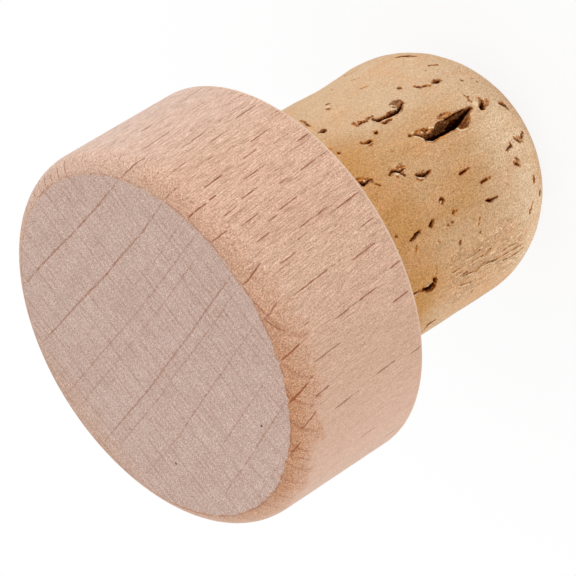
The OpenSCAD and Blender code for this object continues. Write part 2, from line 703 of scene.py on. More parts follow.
class Recipe:
    """Builds the nodes of one material, so that a finish reads as a list of steps.

    Attributes:
        colour: The colour so far.
        material: The material.
        tree: Its nodes.
        surface: The node that shades it.
        place: Coordinates in mm.
    """

    def __init__(self, name: str, colour: Colour) -> None:
        """Starts a material.

        Args:
            name: Name of the material.
            colour: Its colour, until another is laid over it.
        """
        self.colour: Socket | Colour = colour
        self.material = bpy.data.materials.new(name)
        self.material.use_nodes = True
        self.tree = self.material.node_tree
        self.surface = self.tree.nodes["Principled BSDF"]
        coordinates = self.node("TexCoord").outputs["Object"]
        self.place = self.vector("MULTIPLY", coordinates, (1 / MM,) * 3)

    @functools.cached_property
    def height(self) -> Socket:
        """Height above the foot in mm."""
        return self.parts(self.place)[2]

    def fill(self, node: bpy.types.Node, inputs: dict[str | int, object]) -> None:
        """Gives inputs of a node what they take.

        Args:
            node: The node.
            inputs: A socket to follow or a plain value, by the input's name or number.
        """
        for key, value in inputs.items():
            if isinstance(value, Socket):
                self.tree.links.new(value, node.inputs[key])
            else:
                node.inputs[key].default_value = value

    def node(
        self, kind: str, inputs: dict[str | int, object] | None = None, **settings: object
    ) -> bpy.types.Node:
        """Adds a node.

        Args:
            kind: Its type, without the prefix that every type has.
            inputs: What its inputs take.
            **settings: Its properties.

        Returns:
            The new node.
        """
        made = self.tree.nodes.new("ShaderNode" + kind)
        for name, value in settings.items():
            setattr(made, name, value)
        self.fill(made, inputs or {})
        return made

    def vector(self, operation: str, *terms: object) -> Socket:
        """Works out coordinates by the named operation."""
        return self.node("VectorMath", dict(enumerate(terms)), operation=operation).outputs[0]

    def maths(self, operation: str, *terms: object) -> Socket:
        """Works out a number by the named operation."""
        return self.node("Math", dict(enumerate(terms)), operation=operation).outputs[0]

    def total(self, *terms: object) -> Socket:
        """Adds numbers up."""
        return functools.reduce(lambda one, other: self.maths("ADD", one, other), terms)

    def product(self, *terms: object) -> Socket:
        """Multiplies numbers."""
        return functools.reduce(lambda one, other: self.maths("MULTIPLY", one, other), terms)

    def parts(self, place: Socket) -> tuple[Socket, Socket, Socket]:
        """Splits coordinates."""
        return tuple(self.node("SeparateXYZ", {0: place}).outputs)

    def joined(self, *parts: Socket) -> Socket:
        """Joins three numbers as coordinates."""
        return self.node("CombineXYZ", dict(enumerate(parts))).outputs[0]

    def turned(self, angle: float) -> Socket:
        """Coordinates in mm, with X turned to point at an angle round the upright axis."""
        rotation = (0, 0, math.radians(-angle))
        return self.node("Mapping", {"Vector": self.place, "Rotation": rotation}).outputs[0]

    def towards(self, angle: float) -> Socket:
        """Distance in mm from the upright axis, measured at an angle round it."""
        return self.parts(self.turned(angle))[0]

    def away(self, place: Socket) -> Socket:
        """Distance from the upright axis, measured outwards."""
        flat = self.vector("MULTIPLY", place, (1, 1, 0))
        return self.node("VectorMath", {0: flat}, operation="LENGTH").outputs["Value"]

    def grain(
        self,
        place: Socket,
        per_mm: tuple[float, float, float],
        detail: float = 2,
        rough: float = 0.5,
        warp: float = 0,
    ) -> Socket:
        """Adds noise.

        Args:
            place: Coordinates in mm.
            per_mm: Lumps in a mm, along X, Y and Z.
            detail: How many finer layers it has.
            rough: How strong the finer layers are.
            warp: How far it is distorted.

        Returns:
            A value round 0.5.
        """
        inputs = {
            "Vector": self.vector("MULTIPLY", place, per_mm),
            "Scale": 1,
            "Detail": detail,
            "Roughness": rough,
            "Distortion": warp,
        }
        return self.node("TexNoise", inputs).outputs["Fac"]

    def step(self, value: object, low: float, high: float, top: float = 1) -> Socket:
        """Steps smoothly from one level to another.

        Args:
            value: Number that decides.
            low: Where it gives 0.
            high: Where it gives the top level, which may be the lower of the two.
            top: The top level.

        Returns:
            A number from 0 to the top level.
        """
        inputs = {"Value": value, "From Min": low, "From Max": high, "To Max": top}
        return self.node("MapRange", inputs, interpolation_type="SMOOTHSTEP").outputs[0]

    def line(self, value: object, ends: tuple[float, float], to: tuple[float, float]) -> Socket:
        """Maps one span straight onto another.

        Args:
            value: Number to map.
            ends: Ends of the span it lies in, beyond which it is held.
            to: What the ends map to.

        Returns:
            The mapped number.
        """
        limits = {"From Min": ends[0], "From Max": ends[1], "To Min": to[0], "To Max": to[1]}
        return self.node("MapRange", {"Value": value, **limits}).outputs[0]

    def levels(self, noise: Socket, low: float, high: float, reach: float = 0.3) -> Socket:
        """Number between two levels, for a noise that reaches so far from 0.5 each way."""
        return self.line(noise, (0.5 - reach, 0.5 + reach), (low, high))

    def swing(self, noise: Socket, size: object) -> Socket:
        """Factor round 1 that follows a noise round 0.5."""
        return self.maths("MULTIPLY_ADD", self.maths("SUBTRACT", noise, 0.5), size, 1.0)

    def between(self, share: object, first: object, second: object) -> Socket:
        """Mixes two numbers, which are the node's inputs 2 and 3."""
        return self.node("Mix", {0: share, 2: first, 3: second}).outputs[0]

    def mix(self, share: object, first: object, second: object) -> Socket:
        """Mixes two colours, which are the node's inputs 6 and 7."""
        return self.node("Mix", {0: share, 6: first, 7: second}, data_type="RGBA").outputs[2]

    def shade(self, colour: Socket, factor: Socket) -> Socket:
        """Makes a colour lighter or darker, and the darker the warmer.

        Args:
            colour: The colour.
            factor: Factor round 1.

        Returns:
            The new colour.
        """
        change = {0: (0.82, 1.02, 1.2), "Scale": self.maths("SUBTRACT", factor, 1.0)}
        scaled = self.node("VectorMath", change, operation="SCALE").outputs[0]
        return self.vector("MULTIPLY", colour, self.vector("ADD", scaled, (1, 1, 1)))

    def lay(self, share: Socket, colour: Socket | Colour) -> None:
        """Lays a colour over the material's colour so far."""
        self.colour = self.mix(share, self.colour, colour)

    def layer(self, name: str) -> Socket:
        """Values that the mesh carries."""
        return self.node("Attribute", attribute_name=name).outputs["Fac"]

    def marked(self, name: str, ragged: Socket) -> Socket:
        """Mask of a layer that holds marks, whose edges a small number makes ragged."""
        return self.step(self.total(self.layer(name), ragged), 0.46, 0.56)

    def coat(self, inputs: dict[str, object]) -> None:
        """Gives the surface its colour and what its other inputs take."""
        self.fill(self.surface, {"Base Color": self.colour, **inputs})

    def emboss(self, height: Socket, distance: float) -> None:
        """Adds bump to the surface, as deep in mm as the distance says."""
        inputs = {"Strength": 1, "Distance": distance * MM, "Height": height}
        self.fill(self.surface, {"Normal": self.node("Bump", inputs).outputs["Normal"]})


@dataclass(frozen=True)
class CorkFinish:
    """Looks of ground natural cork: tan with paler zones that are partly painted light, bark in its pits
    and a fine pore.

    Attributes:
        tan: Colour of the side near the head, darker there partly as painted shade under the head and
            partly as deeper colour.
        pale: Colour of the paler zones: partly painted light on the palest sides and the rounded end,
            partly the cork's own paler patches.
        cream: Colour of the painted light on the rounded end's palest part.
        rosy: Colour of the pinker patches.
        halo: Colour of the bark where it thins out round a pit.
        bark: Colour of the bark close to a pit.
        ash: Colour of old, weathered bark.
        burnt: Colour of a pit's wall, partly its dark bark and partly painted shade.
        black: Colour deep in a pit, partly its dark bark and partly painted shade.
        lip_highlight: Colour of the painted highlight beside a mark, and of the cork's own pale marks.
        sheen_side: Angle of the side on which painted sheen makes the cork palest.
        cream_side: Angle of the side at which the painted light on the rounded end is palest.
        rosy_side: Angle of the side that is pinker, and low down also paler as painted light.
        fold_side: Angle of the side that has small folds along the axis.
    """

    tan: Colour = srgb(202, 151, 94)
    pale: Colour = srgb(217, 185, 150)
    cream: Colour = srgb(244, 214, 178)
    rosy: Colour = srgb(220, 166, 120)
    halo: Colour = srgb(182, 114, 48)
    bark: Colour = srgb(122, 56, 10)
    ash: Colour = srgb(128, 76, 38)
    burnt: Colour = srgb(84, 36, 6)
    black: Colour = srgb(28, 7, 1)
    lip_highlight: Colour = srgb(240, 214, 174)
    sheen_side: float = 25
    cream_side: float = -85
    rosy_side: float = -108
    fold_side: float = -102


class CorkRecipe(Recipe):
    """Builds the cork, one step over the other.

    Attributes:
        finish: How the cork looks.
        wear_and_sheen: Distance from the axis towards the side that painted sheen makes palest.
        low: 1 low down on the pinker side, where painted light also makes it paler and brighter; 0
            elsewhere.
        pore: Noise of the fine pores.
        lump: Noise of the lumps between them.
        folds: More than 0 on a small fold's upper edge, painted pale as a highlight, less on its lower
            edge, painted dark as shade.
    """

    def __init__(self, finish: CorkFinish) -> None:
        """Builds the whole material.

        Args:
            finish: How the cork looks.
        """
        super().__init__("natural_cork", finish.tan)
        self.finish = finish
        self.wear_and_sheen = self.towards(finish.sheen_side)
        side = self.step(self.towards(finish.rosy_side), 8.3, 9.7)
        self.low = self.product(side, self.step(self.height, 17, 11))
        self.pore = self.grain(self.place, (9, 9, 7.5), detail=0)
        self.lump = self.grain(self.place, (4, 4, 3), detail=1, rough=0.5)
        self.folds = self._folds()
        self._ground()
        self._tones()
        self._marks()
        self.coat({"Roughness": self.levels(self.pore, 0.62, 0.8), "Specular IOR Level": 0.02})
        self.emboss(self.total(self.pore, self.lump, self.product(self.folds, 1.5)), 0.03)

    def _folds(self) -> Socket:
        """Makes small folds along the axis, strongest on one side of the straight part.

        Returns:
            More than 0 on a fold's upper edge and less on its lower edge, which the colour shows as
            painted highlight and painted shade.
        """
        noise = self.grain(self.place, (2.4, 2.4, 0.6), detail=2, rough=0.5, warp=0.3)
        off = self.maths("SUBTRACT", noise, 0.5)
        pale = self.product(self.step(off, 0, 0.03), self.step(off, 0.09, 0.03, 1.2))
        dark = self.product(self.step(off, 0, -0.02), self.step(off, -0.06, -0.02, 0.5))
        region = self.product(
            self.step(self.towards(self.finish.fold_side), 9.2, 9.75),
            self.step(self.height, 5, 7),
            self.step(self.height, 15.5, 13.5),
        )
        return self.product(self.maths("SUBTRACT", pale, dark), self.between(region, 0.1, 1.0))

    def _ground(self) -> None:
        """Lays the zones of plain colour, some of them painted light and shade."""
        look, height, wear_and_sheen, low = self.finish, self.height, self.wear_and_sheen, self.low
        patch = self.grain(self.place, (0.25, 0.25, 0.1), detail=4, rough=0.6, warp=0.6)
        warm = self.step(height, 4.5, 8.5)
        zone = self.total(
            # Paler further below the head: darker near it partly as painted shade under the head, partly
            # as deeper colour
            self.step(height, 19, 14.5, 0.4),
            # Paler on the rounded end: painted light
            self.step(height, 11, 1, 0.65),
            # Painted sheen on the palest side, and on the side across from it
            self.step(wear_and_sheen, 4.4, 9.9, 0.8),
            self.step(wear_and_sheen, -5, -9, 0.4),
            # Painted light on the pinker side low down, and paler patches of the cork itself
            self.product(low, self.between(warm, 0.45, 0.25)),
            self.levels(patch, -0.25, 0.25, 0.2),
        )
        self.lay(self.step(zone, 0, 1), look.pale)
        # Painted light on the rounded end's palest part
        cream = self.step(self.towards(look.cream_side), 5, 9)
        self.lay(self.product(self.step(height, 9.5, 2.5), cream), look.cream)
        rosy = self.grain(self.place, (0.45, 0.45, 0.25), detail=3, rough=0.6)
        rosy = self.total(self.step(rosy, 0.45, 0.7, 0.4), self.product(low, warm, 0.38))
        self.lay(rosy, look.rosy)

    def _tones(self) -> None:
        """Makes the colour uneven: streaks, lumps, folds and the fine pore."""
        streak = self.grain(self.place, (1.4, 1.4, 0.16), detail=4, rough=0.65)
        end = self.step(self.height, 8, 2, 0.35)
        depth = self.total(self.step(self.wear_and_sheen, 9, 3, 0.4), end, 0.55)
        tones = self.product(
            self.levels(streak, 0.94, 1.06, 0.25),
            self.levels(self.lump, 0.95, 1.05),
            # Pale upper and dark lower edges of the folds: painted highlight and painted shade
            self.maths("MULTIPLY_ADD", self.folds, 0.34, 1.0),
            # Brighter on the pinker side low down: painted light
            self.line(self.low, (0, 1), (1, 1.06)),
            self.swing(self.pore, depth),
        )
        self.colour = self.shade(self.colour, tones)

    def _marks(self) -> None:
        """Lays the pits, their bark and the painted highlights beside them, where the mesh carries them.
        """
        look = self.finish
        ragged = self.levels(self.grain(self.place, (6, 6, 5), detail=1), -0.05, 0.05)
        strands = self.grain(self.place, (5, 5, 0.6), detail=2, rough=0.6)
        strands = self.levels(strands, 0.35, 1.7, 0.12)
        crumbs = self.levels(self.grain(self.place, (5, 5, 4)), 0.75, 1, 0.15)
        stain = self.total(self.layer("stain"), ragged)
        bark = self.mix(self.step(stain, 0.5, 0.56), look.halo, look.bark)
        bark = self.shade(self.mix(self.layer("ash"), bark, look.ash), strands)
        self.lay(self.product(self.step(stain, 0.45, 0.52), crumbs), bark)
        # Dark inside the pits: partly the dark bark that lines them, partly painted shade in their depth
        void = self.total(self.layer("void"), ragged)
        dark = self.mix(self.step(void, 0.52, 0.57), look.burnt, look.black)
        self.lay(self.step(void, 0.45, 0.53), dark)
        # The cork's own pale marks, and the painted highlights beside marks
        self.lay(self.marked("pale", ragged), look.lip_highlight)


@dataclass(frozen=True)
class BeechFinish:
    """Looks of bare turned beech: long grain on the side, greyer end grain on the face.

    Attributes:
        side: Colour of the side.
        painted_sheen: Colour of the painted sheen on the side where it is palest.
        face: Colour of the end-grain face.
        ruddy: Colour of the face near its redder rim.
        burnt: Colour of the round-over, which the tool has burnished.
        spindle: Colour of the faint rays inside the wood.
        side_ray: Colour of the rays on the side.
        edge_ray: Colour of the rays on the round-over.
        face_ray: Colour of the rays on the face.
        dirt: Colour of the specks.
        arris: Colour of the painted highlight along the sharp lower rim.
        ray_angle: Direction in which the rays run.
        fibre_lean: How far the fibres lean from the axis.
        ring: Width of a growth ring in mm.
        ring_start: Distance from the axis to a ring line, along the rays.
        threads: Number of fine lines in a growth ring.
        painted_sheen_side: Angle of the side on which painted sheen makes it palest.
        burnt_side: Angle of the side that is burnished most.
        wide_side: Angle of the side on which the burnished belt is widest.
    """

    side: Colour = srgb(218, 177, 151)
    painted_sheen: Colour = srgb(222, 190, 172)
    face: Colour = srgb(210, 179, 164)
    ruddy: Colour = srgb(212, 168, 140)
    burnt: Colour = srgb(199, 140, 97)
    spindle: Colour = srgb(186, 130, 106)
    side_ray: Colour = srgb(146, 78, 46)
    edge_ray: Colour = srgb(158, 84, 42)
    face_ray: Colour = srgb(166, 106, 70)
    dirt: Colour = srgb(60, 48, 48)
    arris: Colour = srgb(242, 214, 192)
    ray_angle: float = -41
    fibre_lean: float = 4.5
    ring: float = 1.77
    ring_start: float = 1.05
    threads: int = 3
    painted_sheen_side: float = 35
    burnt_side: float = -100
    wide_side: float = -78


class BeechRecipe(Recipe):
    """Builds the beech, one step over the other.

    Attributes:
        finish: How the wood looks.
        top: Height of the end-grain face.
        underside: Height of the head's underside.
        face_radius: Radius of the flat face.
        wood: Coordinates in mm, X along the rays.
        fibres: The same, leaning as the fibres do.
        along: Distance from the axis along the rays.
        level: Height above the foot.
        right: Distance from the axis along +X.
        rim: Distance from the axis.
        soft: Soft lumps that blur the rim.
        cloud: Larger lumps that blur the belt.
        high: 1 at the height of the face, 0 below its edge.
        end: 1 on the end-grain face, 0 elsewhere.
        belt: How burnished the wood is.
        hatched: How strongly the fibres show.
        fibre: Noise of the wider fibres.
        hatch: Noise of the finest fibres.
    """

    def __init__(
        self, finish: BeechFinish, top: float, underside: float, face_radius: float
    ) -> None:
        """Builds the whole material.

        Args:
            finish: How the wood looks.
            top: Height of the end-grain face.
            underside: Height of the head's underside.
            face_radius: Radius of the flat face.
        """
        super().__init__("beech", finish.side)
        self.finish, self.top = finish, top
        self.underside, self.face_radius = underside, face_radius
        self.wood = self.turned(finish.ray_angle)
        self.along, across, self.level = self.parts(self.wood)
        lean = math.tan(math.radians(finish.fibre_lean))
        leaning = self.maths("MULTIPLY_ADD", self.level, lean, across)
        self.fibres = self.joined(self.along, leaning, self.level)
        self.right = self.parts(self.place)[0]
        self.rim = self.away(self.wood)
        self.soft = self.grain(self.wood, (1.6, 1.6, 1.6), detail=3)
        self.cloud = self.grain(self.wood, (0.9, 0.9, 0.9), detail=4, rough=0.65)
        blurred = self.total(self.rim, self.levels(self.soft, -0.2, 0.2, 0.25))
        self.high = self.step(self.level, top - 1.3, top - 0.8)
        flat = self.step(blurred, face_radius + 0.02, face_radius - 0.1)
        self.end = self.product(flat, self.high)
        self.belt = self._belt()
        self.hatched = self.line(self.right, (-2, 12), (0.25, 0.8))
        self.fibre = self.grain(self.fibres, (4.2, 4.2, 0.35), detail=2, rough=0.6)
        self.hatch = self.grain(self.fibres, (12, 12, 1.0), detail=0)
        self._ground()
        self._spindles()
        self._threads()
        self._grain()
        self._marks()
        self.coat(
            {
                "Roughness": self.levels(self.fibre, 0.5, 0.64),
                "Specular IOR Level": 0.32,
                "Sheen Weight": 0.15,
                "Sheen Roughness": 0.5,
            }
        )
        self.emboss(self.total(self.hatch, self.fibre), 0.015)

    def _belt(self) -> Socket:
        """Works out how burnished the wood is.

        Returns:
            From 0 to about 1 at the upper edge, on the side that is burnished most.
        """
        reach = self.total(self.level, self.levels(self.cloud, -0.9, 0.9, 0.2))
        wide = self.step(self.towards(self.finish.wide_side), 12.5, 14.7, 0.6)
        broad = self.step(self.total(reach, wide), self.top - 1.8, self.top - 0.8, 0.52)
        narrow = self.step(self.level, self.top - 1, self.top, 0.48)
        side = self.line(self.towards(self.finish.burnt_side), (-14.5, 14.5), (0, 1))
        burnish = self.maths("MULTIPLY_ADD", self.maths("POWER", side, 5.5), 0.82, 0.15)
        mottle = self.grain(self.wood, (0.7, 0.7, 0.7), detail=3, rough=0.6, warp=0.5)
        mottle = self.levels(mottle, 0.8, 1.17, 0.2)
        return self.product(self.total(broad, narrow), burnish, mottle)

    def _ground(self) -> None:
        """Lays the plain colours of the side, its painted sheen, the belt and the face."""
        look = self.finish
        # Painted sheen on the palest side
        self.lay(self.step(self.towards(look.painted_sheen_side), 9, 14.5, 0.6), look.painted_sheen)
        self.lay(self.belt, look.burnt)
        ruddy = self.step(self.along, -10.5, -14, 0.6)
        self.lay(self.end, self.mix(ruddy, look.face, look.ruddy))

    def _spindles(self) -> None:
        """Adds the fine flecks of the side and the faint rays inside the wood."""
        fine = self.step(self.grain(self.fibres, (7, 7, 0.5), detail=1), 0.6, 0.7, 0.42)
        fine = self.product(fine, self.between(self.end, self.hatched, 0.0))
        self.lay(fine, self.finish.side_ray)
        spindle = self.step(self.grain(self.fibres, (0.3, 5, 0.7), rough=0.6), 0.58, 0.75)
        spindle = self.product(spindle, self.between(self.end, 0.19, 0.1))
        self.lay(spindle, self.finish.spindle)

    def _threads(self) -> None:
        """Adds the lines between the growth rings and the finer threads of the face."""
        ring = self.finish.ring
        strength = self.between(self.end, self.line(self.belt, (0, 0.8), (0.05, 0.4)), 0.14)
        self.lay(self.product(self._rings(ring), strength), self.finish.edge_ray)
        woven = self.step(self.grain(self.wood, (0.35, 0.6, 1), rough=0.6), 0.4, 0.65, 0.2)
        threads = self._rings(ring / self.finish.threads)
        self.lay(self.product(threads, woven, self.end), self.finish.face_ray)

    def _rings(self, apart: float) -> Socket:
        """Draws thin wobbling lines across the rays.

        Args:
            apart: Distance between them in mm.

        Returns:
            1 on a line and 0 between the lines.
        """
        wobble = self.grain(self.wood, (0.25, 0.12, 0.1))
        wobble = self.levels(wobble, -0.25, 0.25)
        start = -self.finish.ring_start / apart
        turns = self.maths("MULTIPLY_ADD", self.along, 1 / apart, start)
        share = self.maths("FRACT", self.total(turns, wobble))
        away = self.maths("MINIMUM", share, self.maths("SUBTRACT", 1.0, share))
        scale = self.finish.ring / apart
        return self.step(away, 0.1 * scale, 0.02 * scale)

    def _grain(self) -> None:
        """Adds the grain: fibres on the side, and on the face the open ends of pores."""
        wood = self.wood
        tone = self.grain(wood, (0.12, 0.25, 0.05), detail=3)
        speckle = self.grain(wood, (10, 10, 10), detail=0)
        crumb = self.grain(wood, (4.5, 4.5, 4.5), detail=0)
        weave = self.grain(wood, (4, 0.9, 1), rough=0.6)
        figure = self.grain(wood, (1.1, 0.3, 1), rough=0.6)
        streak = self.grain(wood, (0.2, 3.0, 1), rough=0.6)
        wear_and_sheen = self.product(self.belt, self.line(self.right, (2, 11), (1.2, 0.3)))
        speckled = self.total(self.line(self.right, (-2, 9), (0.62, 1.0)), wear_and_sheen)
        long_grain = self.product(
            self.levels(self.fibre, 0.96, 1.04),
            self.swing(speckle, speckled),
            self.swing(self.hatch, self.hatched),
        )
        end_grain = self.product(
            self.levels(speckle, 0.6, 1.4),
            self.levels(weave, 0.83, 1.17),
            self.levels(crumb, 0.87, 1.13),
            self.levels(figure, 0.98, 1.02, 0.2),
            self.levels(streak, 0.97, 1.03, 0.2),
        )
        grain = self.between(self.end, long_grain, end_grain)
        tones = self.product(self.levels(tone, 0.97, 1.03, 0.2), grain)
        self.colour = self.shade(self.colour, tones)

    def _marks(self) -> None:
        """Adds the rays and specks that the mesh carries, the face's rim and the painted highlight along
        the arris.
        """
        look = self.finish
        ragged = self.levels(self.grain(self.fibres, (5, 5, 2), detail=1), -0.025, 0.025)
        ray = self.mix(self.step(self.belt, 0.1, 0.5), look.side_ray, look.edge_ray)
        self.lay(self.marked("ray", ragged), self.mix(self.end, ray, look.face_ray))
        inner, outer = 0.04 - self.face_radius, -0.1 - self.face_radius
        beside = self.total(self.rim, self.levels(self.soft, outer, inner, 0.25))
        rim = self.step(self.maths("ABSOLUTE", beside), 0.12, 0.03)
        broken = self.step(self.cloud, 0.42, 0.6, 0.5)
        self.lay(self.product(rim, broken, self.high), look.edge_ray)
        self.lay(self.marked("speck", ragged), look.dirt)
        # Painted highlight along the arris
        arris = self.step(self.level, self.underside + 0.42, self.underside + 0.3, 0.4)
        self.lay(arris, look.arris)


@dataclass(frozen=True)
class GlueFinish:
    """Dried milky glue.

    Attributes:
        milk: Colour of the glue where it is thick.
        amber: Colour where it has soaked into the wood.
    """

    milk: Colour = srgb(236, 226, 196)
    amber: Colour = srgb(214, 190, 140)

    def material(self) -> bpy.types.Material:
        """Builds the material.

        Returns:
            The new material.
        """
        make = Recipe("dried_glue", self.milk)
        cloud = make.grain(make.place, (0.8, 0.8, 0.8), detail=3)
        make.lay(cloud, self.amber)
        make.coat({"Roughness": make.levels(cloud, 0.3, 0.5)})
        make.emboss(cloud, 0.05)
        return make.material


